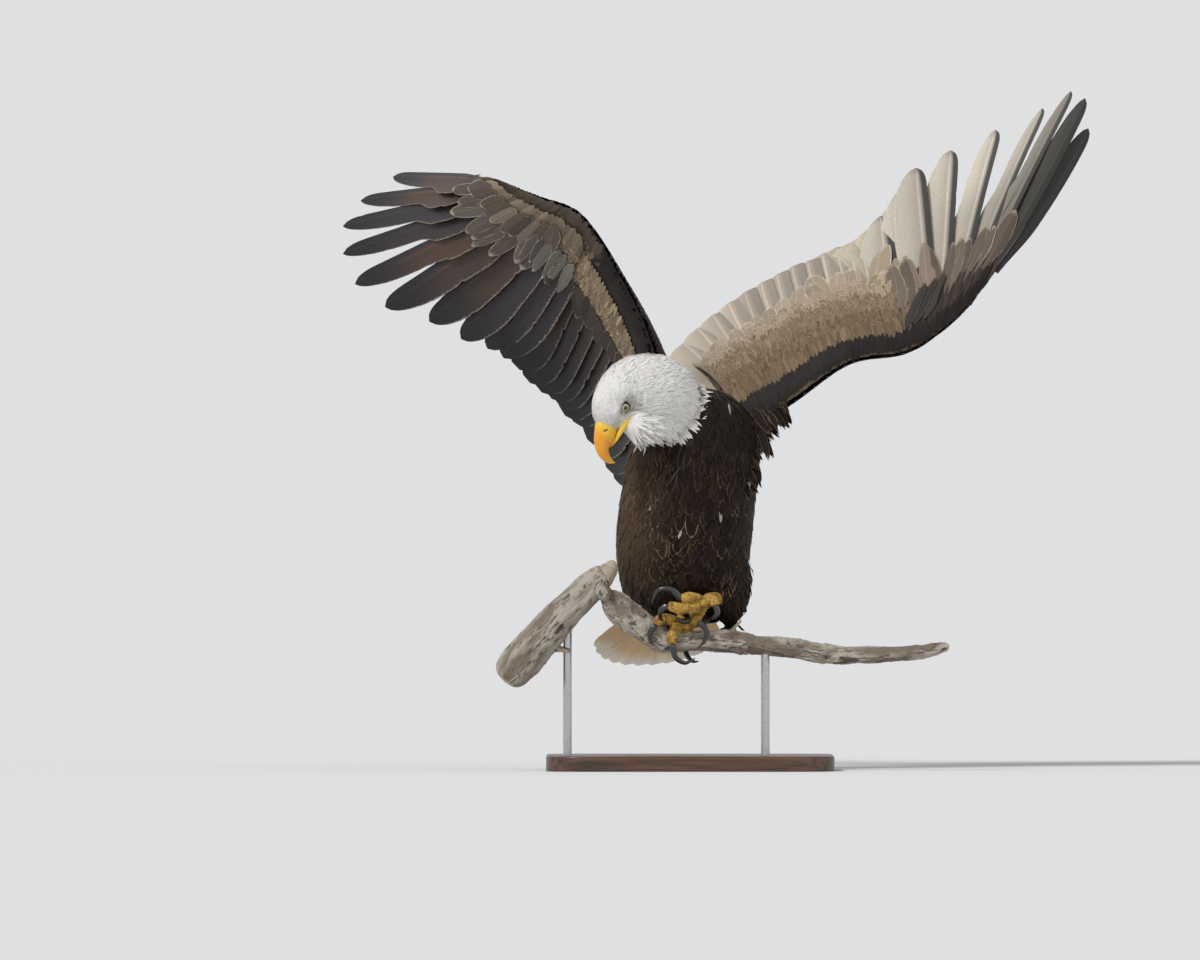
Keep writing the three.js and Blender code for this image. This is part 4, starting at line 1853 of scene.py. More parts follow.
    def _grow(self, tract: Tract, roots: Array, normals: Array, flow: Array) -> Piece:
        """Grows one tract from its roots.

        Args:
            tract: the kind of feather.
            roots: where each starts.
            normals: the skin's way out there.
            flow: the way in which they lie.

        Returns:
            The tract as one object.
        """
        count = len(roots)
        size = np.exp(self.rng.normal(0, tract.vary, count)) * self._size(tract, roots)
        tint, rim = self._colours(tract, roots)
        slim = np.where((tint[:, 0] > 0.4) & (tract.slot == DARK), 0.4, 1.0)
        free = self._fringe(tract, roots)
        broad = tract.width * size**0.7 * slim * (1 + 0.5 * free)
        batch = Feathers(tract.shape, tract.length * size, broad, tint, rim)
        run, aside, off = batch.lay_out(self.rng)
        turn = self.rng.normal(0, 0.1, count)[:, None]
        flow = self._draw_together(tract, roots, flow)
        lie = square_to(flow, normals)
        lie, across = (axis[:, None, None] for axis in turned(lie, np.cross(normals, lie), turn))
        flat = roots[:, None, None] + lie * run[..., None] + across * aside[..., None]
        fringe = free[:, None, None] * batch.u
        off = off * np.exp(self.rng.normal(0, 2 * tract.vary, (count, 1, 1)))
        off = off + tract.lift * (1 + 1.8 * fringe)
        laid = self.skin.hold(flat, off)
        points = laid + (flat - laid) * (fringe * batch.u * 0.7)[..., None]
        points[..., 2] -= 0.006 * fringe * batch.u
        return batch.as_object(tract.name, points, self.skin.unwrap(roots))

    def _fringe(self, tract: Tract, roots: Array) -> Array:
        """Loosens the feathers of the hood's edge and the thighs' ends.

        Args:
            tract: the kind of feather.
            roots: where each starts.

        Returns:
            How freely each one's tip hangs, 0 to 1.
        """
        if tract.zone is Zone.NAPE:
            behind = smooth(self.skin.zones(roots)[1], 0.5, 0.9) * smooth(roots[:, 2], 0.635, 0.6)
            below = smooth(roots[:, 2], 0.572, 0.55) * (roots[:, 1] < -0.08)
            return np.maximum(behind * 0.3, below)
        return smooth(roots[:, 2], 0.27, 0.235) * (tract.zone is Zone.THIGH)

    def _draw_together(self, tract: Tract, roots: Array, flow: Array) -> Array:
        """Turns feathers so that the tips of neighbours draw together in tufts.

        Args:
            tract: the kind of feather.
            roots: where each starts.
            flow: the way in which they lie.

        Returns:
            The new way in which they lie.
        """
        heads = roots[self.rng.permutation(len(roots))[: max(1, len(roots) // 14)]]
        nearest = np.array([np.linalg.norm(heads - root, axis=1).argmin() for root in roots])
        aim = unit(heads[nearest] + flow * tract.length * 1.1 - roots)
        return unit(mix(flow, aim, tract.tuft))

    def _size(self, tract: Tract, roots: Array) -> Array:
        """Sizes feathers by where they grow.

        Args:
            tract: the kind of feather.
            roots: where each starts.

        Returns:
            Each one's size as a share of the tract's.
        """
        x, _, z = roots.T
        forward = HEAD.inside(roots)[:, 0]
        if tract.zone is Zone.FACE:
            return mix(0.42, 1.9, smooth(forward, 32, -18))
        if tract.zone is Zone.NAPE:
            high = smooth(z, 0.585, 0.625)
            low = smooth(z, 0.585, 0.555) * smooth(x, -0.02, -0.05)
            size = np.maximum(mix(0.6, 1.1, smooth(forward, -20, -75)) * (1 - 0.4 * high), 0.85 * low)
            return size * mix(0.5, 1.0, smooth(x, 0.009, -0.01))
        if tract.zone is Zone.THIGH:
            return mix(1.0, 1.35, smooth(z, 0.28, 0.235))
        return np.ones(len(roots))

    def _colours(self, tract: Tract, roots: Array) -> tuple[Array, Array]:
        """Colours feathers by where they grow, with painted sunlight on the right flank and the back, and
        painted shade round the eyes.

        Args:
            tract: the kind of feather.
            roots: where each starts.

        Returns:
            Each one's tint and edge colour.
        """
        count = len(roots)
        if tract.slot == WHITE:
            shadow = mix(0.62, 1.0, smooth(eye_gap(roots), 0.0135, 0.022))[:, None]
            rim = shade_of(self.white_rim, count, self.rng, 0.02)
            return shade_of(self.white, count, self.rng, 0.03) * shadow, rim * shadow
        x, y, z = roots.T
        # Painted sunlight on the right flank, the lit side: warm edges and a lighter, warmer tint.
        flank = smooth(x, -0.02, -0.1) * smooth(z, 0.26, 0.4)
        tint = shade_of(self.brown, count, self.rng, 0.25)
        rim = shade_of(self.brown_rim, count, self.rng, 0.45)
        rim = mix(rim, self.warm, (flank * self.rng.random(count))[:, None])
        patch = np.array([noise.noise(root * 16) for root in roots])
        shoulder = smooth(z, 0.5, 0.55) * smooth(x, -0.01, 0.05)
        belly = smooth(z, 0.37, 0.27) * smooth(np.abs(x), 0.08, 0.03)
        rim *= (mix(0.5, 1.3, smooth(patch, -0.35, 0.3)) * (1 - 0.75 * np.maximum(shoulder, belly)))[:, None]
        tint *= (1 - 0.4 * belly)[:, None]
        for across, up in self.flecks:
            gap = np.hypot(x - across * MM, z - up * MM) + (y > 0.02)
            if gap.min() < 0.01:
                tint[gap.argmin()] = rim[gap.argmin()] = self.fleck
        warm = np.array(self.warm)
        tint = mix(tint, warm * 0.5, (flank * 0.5)[:, None])
        # The back's feathers take the warm colour too, partly as painted sunlight like the wing's upper face.
        mantle = (smooth(y, -0.01, 0.02) * smooth(z, 0.48, 0.56))[:, None]
        return mix(tint, warm, mantle * 0.8), mix(rim, warm * 1.7, mantle)


# ---------------- wings and tail


@dataclass(frozen=True)
class CovertRow:
    """A band of coverts on one face of the wing, laid in staggered rows.

    Attributes:
        span: where its rows start and end along the wing.
        band: roots of the foremost and the hindmost row, as shares of the chord.
        rows: the number of rows.
        spacing: distance between neighbours, in metres.
        length: their length.
        width: their width.
        shape: their shape.
        tint: the vane's colour.
        rim: the edge's colour.
        lift: how far off the wing they lie.
        spread: how much their colour varies.
        slant: how far they turn out along the wing, in radians.
    """

    span: tuple[float, float]
    band: tuple[float, float]
    rows: int
    spacing: float
    length: float
    width: float
    shape: Vane
    tint: Colour
    rim: Colour
    lift: float = 0.0
    spread: float = 0.12
    slant: float = 0.04


COVERT = Vane(rows=8, columns=7, rise=0.3, blunt=3.0, end=0.2, cup=0.08, ragged=0.04, slope=0.04)
LARGE = Vane(rows=14, columns=9, rise=0.25, blunt=4.0, end=0.15, cup=0.07, ragged=0.015, slope=0.014)
LANCE = Vane(rows=14, columns=9, rise=0.3, blunt=1.8, end=0.08, cup=0.1, ragged=0.02, slope=0.018)
SPADE = Vane(rows=14, columns=9, rise=0.35, blunt=2.8, end=0.1, cup=0.12, ragged=0.015, slope=0.02)
FLAT = Vane(rows=6, columns=5, rise=0.3, blunt=2.4, end=0.2, cup=0.03, ragged=0.08, slope=0.01)
# Black painted shade for the wing's leading edge, where it turns from the light.
LEADING_EDGE_SHADE = (0.016, 0.012, 0.012)

# Each band's first line places and sizes its feathers; its second one colours and lifts them.
COVERTS = {
    Face.UPPER: (
        # The upper face's pale beige coverts are painted with sunlight and sheen.
        CovertRow(
            (0, 0.6), (0.36, 0.36), 1, 0.0195, 0.125, 0.034, LARGE,
            (0.37, 0.3, 0.22), (0.58, 0.5, 0.39), 0.002, 0.1,
        ),
        CovertRow(
            (0.6, 1), (0.13, 0.13), 1, 0.0205, 0.15, 0.036, SPADE,
            (0.17, 0.13, 0.1), (0.33, 0.27, 0.21), 0.003, 0.25,
        ),
        # These pale median coverts carry painted sunlight and sheen too.
        CovertRow(
            (0, 0.66), (0.32, 0.44), 4, 0.0155, 0.052, 0.022, COVERT,
            (0.33, 0.255, 0.18), (0.52, 0.42, 0.3), 0.0025,
        ),
        CovertRow(
            (0, 0.66), (0.2, 0.36), 9, 0.0098, 0.04, 0.0115, STREAK,
            (0.22, 0.155, 0.096), (0.42, 0.31, 0.2), 0.0025, 0.16,
        ),
        CovertRow(
            (0, 0.66), (0.07, 0.2), 9, 0.0078, 0.032, 0.009, STREAK,
            (0.165, 0.112, 0.067), (0.3, 0.21, 0.13), 0.002, 0.18,
        ),
        CovertRow(
            (0.6, 1), (0.06, 0.14), 3, 0.014, 0.06, 0.02, LANCE,
            (0.045, 0.033, 0.028), (0.12, 0.088, 0.065), 0.002, 0.3,
        ),
        CovertRow(
            (0.62, 0.72), (0.08, 0.08), 1, 0.02, 0.08, 0.024, LANCE,
            (0.05, 0.042, 0.037), (0.13, 0.11, 0.095), 0.004, 0.3, 0.6,
        ),
        # These two black bands along the leading edge are painted shade.
        CovertRow(
            (0, 0.62), (0.004, 0.06), 5, 0.009, 0.027, 0.0135, FLAT,
            LEADING_EDGE_SHADE, (0.035, 0.027, 0.023), 0.0003, 0.12, 0.35,
        ),
        CovertRow(
            (0.62, 1), (0.004, 0.12), 7, 0.009, 0.03, 0.0135, FLAT,
            LEADING_EDGE_SHADE, (0.035, 0.026, 0.022), 0.0003, 0.15, 0.35,
        ),
    ),
    Face.LOWER: (
        CovertRow(
            (0, 0.6), (0.3, 0.3), 1, 0.022, 0.068, 0.028, LARGE,
            (0.05, 0.038, 0.032), (0.2, 0.16, 0.115), 0.007, 0.2,
        ),
        CovertRow(
            (0.66, 1), (0.14, 0.14), 1, 0.021, 0.125, 0.034, LARGE,
            (0.1, 0.082, 0.07), (0.34, 0.29, 0.235), 0.009, 0.15,
        ),
        CovertRow(
            (0.64, 1), (0.1, 0.1), 1, 0.019, 0.08, 0.028, LARGE,
            (0.1, 0.078, 0.06), (0.3, 0.245, 0.185), 0.0105, 0.25,
        ),
        CovertRow(
            (0.55, 0.7), (0.2, 0.2), 1, 0.0165, 0.085, 0.022, LANCE,
            (0.12, 0.105, 0.09), (0.38, 0.34, 0.28), 0.012, 0.3,
        ),
        CovertRow(
            (0, 0.62), (0.3, 0.34), 2, 0.0155, 0.04, 0.02, COVERT,
            (0.07, 0.05, 0.036), (0.24, 0.18, 0.12), 0.005, 0.3,
        ),
        CovertRow(
            (0.56, 1), (0.05, 0.17), 6, 0.0125, 0.04, 0.018, COVERT,
            (0.17, 0.13, 0.092), (0.36, 0.29, 0.205), 0.006, 0.3,
        ),
        CovertRow(
            (0, 0.72), (0.095, 0.31), 14, 0.0078, 0.034, 0.0085, STREAK,
            (0.235, 0.17, 0.108), (0.4, 0.31, 0.205), 0.003, 0.3,
        ),
        # This black band along the leading edge is painted shade.
        CovertRow(
            (0, 0.5), (0.004, 0.105), 7, 0.009, 0.028, 0.015, FLAT,
            (0.018, 0.014, 0.013), (0.035, 0.027, 0.023), 0.0003, 0.12, 0.35,
        ),
        CovertRow(
            (0.48, 1), (0.03, 0.09), 5, 0.009, 0.028, 0.015, FLAT,
            (0.13, 0.098, 0.07), (0.28, 0.22, 0.155), 0.0003, 0.35, 0.35,
        ),
        CovertRow(
            (0.48, 1), (0.004, 0.02), 2, 0.009, 0.02, 0.013, FLAT,
            (0.06, 0.046, 0.035), (0.11, 0.083, 0.063), 0.0003, 0.2, 0.35,
        ),
    ),
}


@dataclass
class Quills:
    """Flight feathers as thin closed solids with a shaft, a row for each in every array.

    Attributes:
        length: from root to tip, in metres.
        inner: greatest width of the trailing vane.
        outer: greatest width of the leading vane.
        notch: share of the width that is lost beyond the middle.
        blunt: how square the ends are.
        roll: rise of the leading edge over the trailing one, for each metre across.
        rows: points along each.
        columns: points across each.
    """

    length: Array
    inner: Array
    outer: Array
    notch: Array
    blunt: float = 5.0
    roll: float = 0.07
    rows: int = 46
    columns: int = 15

    def lay_out(self, rng: np.random.Generator) -> tuple[Array, ...]:
        """Spreads each feather out flat.

        Args:
            rng: the source of chance.

        Returns:
            Places along (0 to 1), distances across, and distances off the middle surface; each has a row for
            the upper face and one for the lower.
        """
        count = len(self.length)
        u = (np.linspace(0, 1, self.rows) ** 0.9)[None, :, None] * np.ones((count, 1, self.columns))
        v = np.linspace(-1, 1, self.columns)[None, None, :] * np.ones((count, self.rows, 1))
        v = np.sign(v) * np.abs(v) ** 0.85
        rise = 0.3 + 0.7 * smooth(u, 0, 0.34)
        start = np.where(v > 0, 0.78, 0.62)
        power = np.where(v > 0, 2.6, 1.0) * self.blunt
        fall = np.clip(1 - np.clip((u - start) / (1 - start), 0, 1) ** power * 0.99, 0, 1) ** 0.6
        lost = 1 - self.notch[:, None, None] * smooth(u, 0.42, 0.56)
        width = np.where(v > 0, self.outer[:, None, None], self.inner[:, None, None] * lost)
        tears = 1 + rng.normal(0, 0.007, v.shape) * (np.abs(v) > 0.9)
        for _ in range(2):
            spot = rng.uniform(0.35, 0.97, (count, 1, 1))
            side = np.where(rng.random((count, 1, 1)) < 0.75, v < 0, v > 0)
            tears -= 0.1 * rng.random((count, 1, 1)) * np.exp(-((u - spot) / 0.012) ** 2) * side * np.abs(v)
        aside = v * width * rise * fall * tears
        shaft = np.exp(-((aside / 0.0016) ** 2)) * 0.0007 * (1.15 - u)
        half = 0.0006 * (1 - np.abs(v)) + 0.00018 + shaft
        middle = aside * self.roll - 4.0 * aside**2 * (1 - 0.4 * u)
        thick = np.stack([half, -half], axis=1)
        pair = [np.stack([a, a], axis=1) for a in (u, aside, middle, v)]
        return pair[0], pair[1], pair[2] + thick, pair[3]

    def as_object(self, name: str, points: Array, maps: tuple, roots: Array, colours: tuple) -> Piece:
        """Makes one mesh of the batch, with the upper faces on one half of their patch of the bake map.

        Args:
            name: the object's name.
            points: each feather's points, upper face then lower.
            maps: each point's place along and across its vane.
            roots: each root's place on the bake map.
            colours: each point's tint and edge colour.

        Returns:
            The object, with its colours and both of its maps.
        """
        count, _, rows, columns = maps[0].shape
        below = rows * columns
        cell = np.arange(below).reshape(rows, columns)
        border = np.concatenate([cell[0, :], cell[1:, -1], cell[-1, -2::-1], cell[-2:0:-1, 0]])
        after = np.roll(border, -1)
        rim = np.stack([after, border, border + below, after + below], axis=-1)
        upper = grid_faces(rows, columns)
        faces = np.concatenate([upper, upper[:, ::-1] + below, rim])
        place = np.stack([maps[1].reshape(count, -1) / 2, maps[0].reshape(count, -1)], axis=-1)
        side = np.where(np.arange(2 * below) < below, 0.25, -0.25)[None, :, None] * (1, 0)
        bake = roots[:, None, :] + (place * (0.5, 1) + side) * TUFT_PATCH
        obj = vane_object(name, points, faces, (bake, place + (0.5, 0)), colours)
        with edit_mode(obj):
            bpy.ops.mesh.normals_make_consistent(inside=False)
        smooth_shade(obj, 60)
        return obj


@dataclass
class WingPlumage:
    """The coverts and flight feathers of one wing.

    Attributes:
        wing: the surface that they lie on.
        skin: the skin, for the places of their roots.
        rng: the source of chance.
        primaries: the number of primaries.
        secondaries: the number of secondaries, with the tertials.
        shaded_slate: the flight feathers' colour from below, their own dark with painted shade, as that face
            is turned from the light.
        sunlit_silver: the primaries' colour from above, painted pale with sunlight and sheen.
        sunlit_beige: the secondaries' colour from above, painted pale with sunlight and sheen.
        russet: the warm brown of the middle of some of them from below.
        slaty: the primaries' dark vanes and tips from above, partly their own dark and partly painted shade.
        margin: the flight feathers' trailing edges from below.
        secondary_root: where the secondaries' roots lie, as a share of the chord.
        primary_root: where the primaries' roots lie.
        seat: rise of the flight feathers off the wing's middle surface, in metres.
    """

    wing: Wing
    skin: Skin
    rng: np.random.Generator
    primaries: int = 10
    secondaries: int = 14
    shaded_slate: Colour = (0.026, 0.0225, 0.026)
    sunlit_silver: Colour = (0.5, 0.45, 0.375)
    sunlit_beige: Colour = (0.52, 0.44, 0.34)
    russet: Colour = (0.07, 0.038, 0.024)
    slaty: Colour = (0.035, 0.034, 0.032)
    margin: Colour = (0.19, 0.15, 0.115)
    secondary_root: float = 0.26
    primary_root: float = 0.12
    seat: float = 0.0012

    def build(self, vane: Material, quill: Material) -> None:
        """Builds every covert and flight feather.

        Args:
            vane: the coverts' finish.
            quill: the flight feathers' finish.
        """
        side = self.wing.side.value
        for face, bands in COVERTS.items():
            rows = [self._coverts(face, band) for band in bands]
            finish_piece(join(rows, f"coverts_{face.name.lower()}_{side}"), vane, "wing_coverts")
        finish_piece(self._secondaries(), quill, "flight_feathers", f"secondaries_{side}")
        finish_piece(self._primaries(), quill, "flight_feathers", f"primaries_{side}")

    def _stations(self, row: CovertRow) -> tuple[Array, Array]:
        """Staggers the roots of a band's rows.

        Args:
            row: the band.

        Returns:
            Each root's place along and across the wing.
        """
        samples = 400
        places = []
        for number in range(row.rows):
            c = mix(row.band[1], row.band[0], number / max(1, row.rows - 1))
            stations = np.linspace(*row.span, samples)
            span = self.wing.at(stations, np.full(samples, c + 0.1))
            path = np.concatenate([[0], np.cumsum(np.linalg.norm(np.diff(span, axis=0), axis=1))])
            steps = np.arange(0.5 * (number % 2) + 0.25, path[-1] / row.spacing) * row.spacing
            steps = steps + self.rng.normal(0, row.spacing * 0.08, len(steps))
            s = np.interp(steps, path, stations)
            places.append(np.stack([s, np.full(len(s), c)], axis=1))
        return np.concatenate(places).T

    def _coverts(self, face: Face, row: CovertRow) -> Piece:
        """Lays one band of coverts.

        Args:
            face: the wing's face.
            row: the band.

        Returns:
            The coverts as one object.
        """
        s, c = self._stations(row)
        count = len(s)
        size = np.exp(self.rng.normal(0, 0.07, count))
        tint, rim = (shade_of(colour, count, self.rng, row.spread) for colour in (row.tint, row.rim))
        length = row.length * size * mix(1.0, 0.8, smooth(s, 0.7, 1.0))
        batch = Feathers(row.shape, length, row.width * size, tint, rim)
        run, aside, off = batch.lay_out(self.rng)
        s3, c3 = s[:, None, None], (c + self.rng.normal(0, 0.004, count))[:, None, None]
        chord = self._chords(s3)
        aside, run = turned(aside, run, self.rng.normal(row.slant, 0.06, count)[:, None, None])
        across = np.clip(c3 + run / chord, 0, 1)
        lift = face.value * (self.wing.hump(s3, across) + off + row.lift) + 0.05 * aside
        ends = np.minimum(s3 + 0.01, 1), np.maximum(s3 - 0.01, 0)
        spans = self.wing.at(ends[0], across) - self.wing.at(ends[1], across)
        speed = np.linalg.norm(spans, axis=-1) / (ends[0] - ends[1])
        room = np.clip((1 - s3) * speed / row.width, 0.2, 1)
        points = self.wing.at(np.clip(s3 + aside * room / speed, 0, 1), across, lift)
        roots = self.wing.at(s, c, face.value * self.wing.hump(s, c))
        return batch.as_object("coverts", points, self.skin.unwrap(roots))

    def _secondaries(self) -> Piece:
        """Builds the secondaries and tertials.

        Returns:
            The feathers as one object.
        """
        count = self.secondaries
        s = 0.004 + (np.arange(count) + 0.5) / count * (self.wing.wrist - 0.006)
        wide = np.full(count, 0.039)
        quills = Quills(self._chords(s), wide, wide * 0.55, np.zeros(count), blunt=4.0)
        return self._lay("secondaries", quills, s, self.secondary_root, np.zeros(count))

    def _primaries(self) -> Piece:
        """Builds the primaries, the outer seven narrowed at their ends and standing apart.

        Returns:
            The feathers as one object.
        """
        number = np.arange(self.primaries)
        outward = number / (self.primaries - 1)
        s = mix(self.wing.wrist, 1.0, outward)
        notch = smooth(number, 3.5, 6) * 0.36
        inner, outer = mix(0.046, 0.034, smooth(number, 2, 6)), mix(0.017, 0.0095, outward)
        quills = Quills(self._chords(s), inner, outer, notch, blunt=2.0)
        return self._lay("primaries", quills, s, self.primary_root, self.wing.bow * smooth(s, 0.72, 1))

    def _chords(self, s: Array) -> Array:
        """The wing's chord at each station."""
        return np.linalg.norm(self.wing.axes(s)[1], axis=-1)

    def _lay(self, name: str, quills: Quills, s: Array, root: float, bow: Array) -> Piece:
        """Lays flight feathers on the wing.

        Args:
            name: their name.
            quills: their shapes.
            s: each one's station.
            root: where their roots lie, as a share of the chord.
            bow: how far each bends aside at its middle, as a share of its length.

        Returns:
            The feathers as one object.
        """
        u, aside, off, v = quills.lay_out(self.rng)
        station = s[:, None, None, None]
        c = root + u * (1.01 + self.rng.normal(0, 0.011, (len(s), 1, 1, 1)) * (station < 0.75) - root)
        length = self._chords(s)[:, None, None, None]
        bent = aside + bow[:, None, None, None] * length * 4 * c * (1 - c)
        points = self.wing.at(station, c, off + self.seat, bent)
        colours = self._shades(name == "primaries", station, u, v)
        roots = self.skin.unwrap(self.wing.at(s, np.full(len(s), root)))
        return quills.as_object(f"{name}_feathers_{self.wing.side.value}", points, (u, v), roots, colours)

    def _shades(self, primary: bool, station: Array, u: Array, v: Array) -> tuple[Array, Array]:
        """Colours flight feathers: above, painted pale with sunlight and sheen, with dark outer vanes that
        are partly painted shade and a painted highlight on the middle primaries; below, dark with painted
        shade and warm middles.

        Args:
            primary: whether they are primaries.
            station: each one's place along the wing.
            u: each point's place along its feather.
            v: each point's place across it.

        Returns:
            Each point's tint and edge colour.
        """
        count = len(station)
        upper = np.zeros((*u.shape, 1))
        upper[:, 0] = 1
        spread = np.exp(self.rng.normal(0, 0.07, (count, 1, 1, 1)))[..., None]
        # The dark outer vanes above are partly the feathers' own dark and partly painted shade, as they slope
        # away from the light.
        dark = smooth(v, 0.2, 0.45) * (0.95 if primary else 0.3)
        # Painted light across each vane above: the trailing side lighter, the leading side darker.
        light = mix(0.78, 1.12, smooth(v, 0.1, -0.8))
        fade = 1.0
        if primary:
            dark = np.maximum(dark + smooth(station, 0.82, 0.97) * 0.93, smooth(u, 0.93, 1.0) * 0.4)
            # Painted highlight: a glossy sheen on the middle primaries.
            light = light + 0.35 * np.exp(-(((station - 0.85) / 0.07) ** 2)) * smooth(u, 0.45, 0.75)
            fade = 1 - 0.5 * smooth(station, 0.9, 0.99)[..., None]
        above = np.array(self.sunlit_silver if primary else self.sunlit_beige) * spread
        above = mix(above, self.slaty, np.clip(dark, 0, 0.95)[..., None]) * light[..., None] * fade
        warm = self.rng.random((count, 1, 1, 1)) ** 1.6 * smooth(np.abs(u - 0.45), 0.4, 0.1) * (v < 0.4)
        # Below, the dark slate carries painted shade as well as the feathers' own dark.
        below = mix(np.array(self.shaded_slate) * spread, self.russet, warm[..., None])
        below = below * mix(1.0, 0.55, smooth(u, 0.6, 0.95))[..., None]
        pale = np.array(self.margin) * ((v < 0) * smooth(u, 1.0, 0.85))[..., None]
        # Painted light on the upper edges as well: lighter on the trailing side, darker on the leading.
        edge = above * mix(1.15, 0.5, smooth(v, -0.1, 0.1))[..., None]
        return mix(below, above, upper), np.clip(mix(np.maximum(pale, below), edge, upper), 0, 1)


@dataclass
class Tail:
    """The half-spread tail of twelve feathers.

    Attributes:
        skin: the skin, for the places of the roots.
        rng: the source of chance.
        root: where the fan starts.
        length: of the middle feathers, in metres.
        fan: degrees from the middle to the outermost feather.
        feathers: their number.
        white: their colour.
        back_face: shade of the face that points backward and up, as a share of it.
        glow: painted light and shade on the face that shows from the front: a warm tan, as where light comes
            through.
        start: distance from the root at which the vanes start, in metres.
    """

    skin: Skin
    rng: np.random.Generator
    root: Point = (-0.018, 0.088, 0.296)
    length: float = 0.262
    fan: float = 27.0
    feathers: int = 12
    white: Colour = (0.84, 0.78, 0.68)
    back_face: Colour = (1, 0.98, 0.94)
    glow: Colour = (0.86, 0.64, 0.4)
    start: float = 0.04

    def build(self, material: Material) -> None:
        """Builds the feathers.

        Args:
            material: their finish.
        """
        side = np.linspace(-1, 1, self.feathers) * 0.93
        length = self.length * mix(1.0, 0.72, side**2)
        wide = np.full(self.feathers, 0.0215)
        quills = Quills(length, wide, wide * 0.8, np.zeros(self.feathers), blunt=4.0, roll=0.0, rows=34)
        u, aside, off, v = quills.lay_out(self.rng)
        upper = unit(np.cross(np.array(BODY_LEFT), TAIL_AXIS))
        out = np.cross(TAIL_AXIS, upper)
        back, across = turned(TAIL_AXIS, out, (np.radians(self.fan) * side)[:, None])
        stack = -0.009 * side**2 + 0.0035 * (1 - np.abs(side))
        reach = self.start + u * (length[:, None, None, None] * 1.015 - self.start)
        points = (
            np.array(self.root)
            + (out * 0.014 * side[:, None])[:, None, None, None]
            + back[:, None, None, None] * reach[..., None]
            + across[:, None, None, None] * aside[..., None]
            + upper * (off + stack[:, None, None, None])[..., None]
        )
        spread = np.exp(self.rng.normal(0, 0.03, (self.feathers, 1, 1, 1, 1)))
        tint = np.array(self.white) * spread * np.ones((*u.shape, 1))
        below = np.zeros_like(u)
        below[:, 1] = smooth(u[:, 1], 0.98, 0.78)
        # The lower face, seen from the front, takes the glow: painted backlight and shade on all but its
        # white tips.
        tint = mix(tint * self.back_face, tint * self.glow, below[..., None])
        roots = self.skin.unwrap(self.root + back * self.start)
        colours = tint, np.clip(tint * 1.06, 0, 1)
        piece = quills.as_object("tail_feathers", points, (u, v), roots, colours)
        finish_piece(piece, material, "tail_feathers", "tail")


# ---------------- head


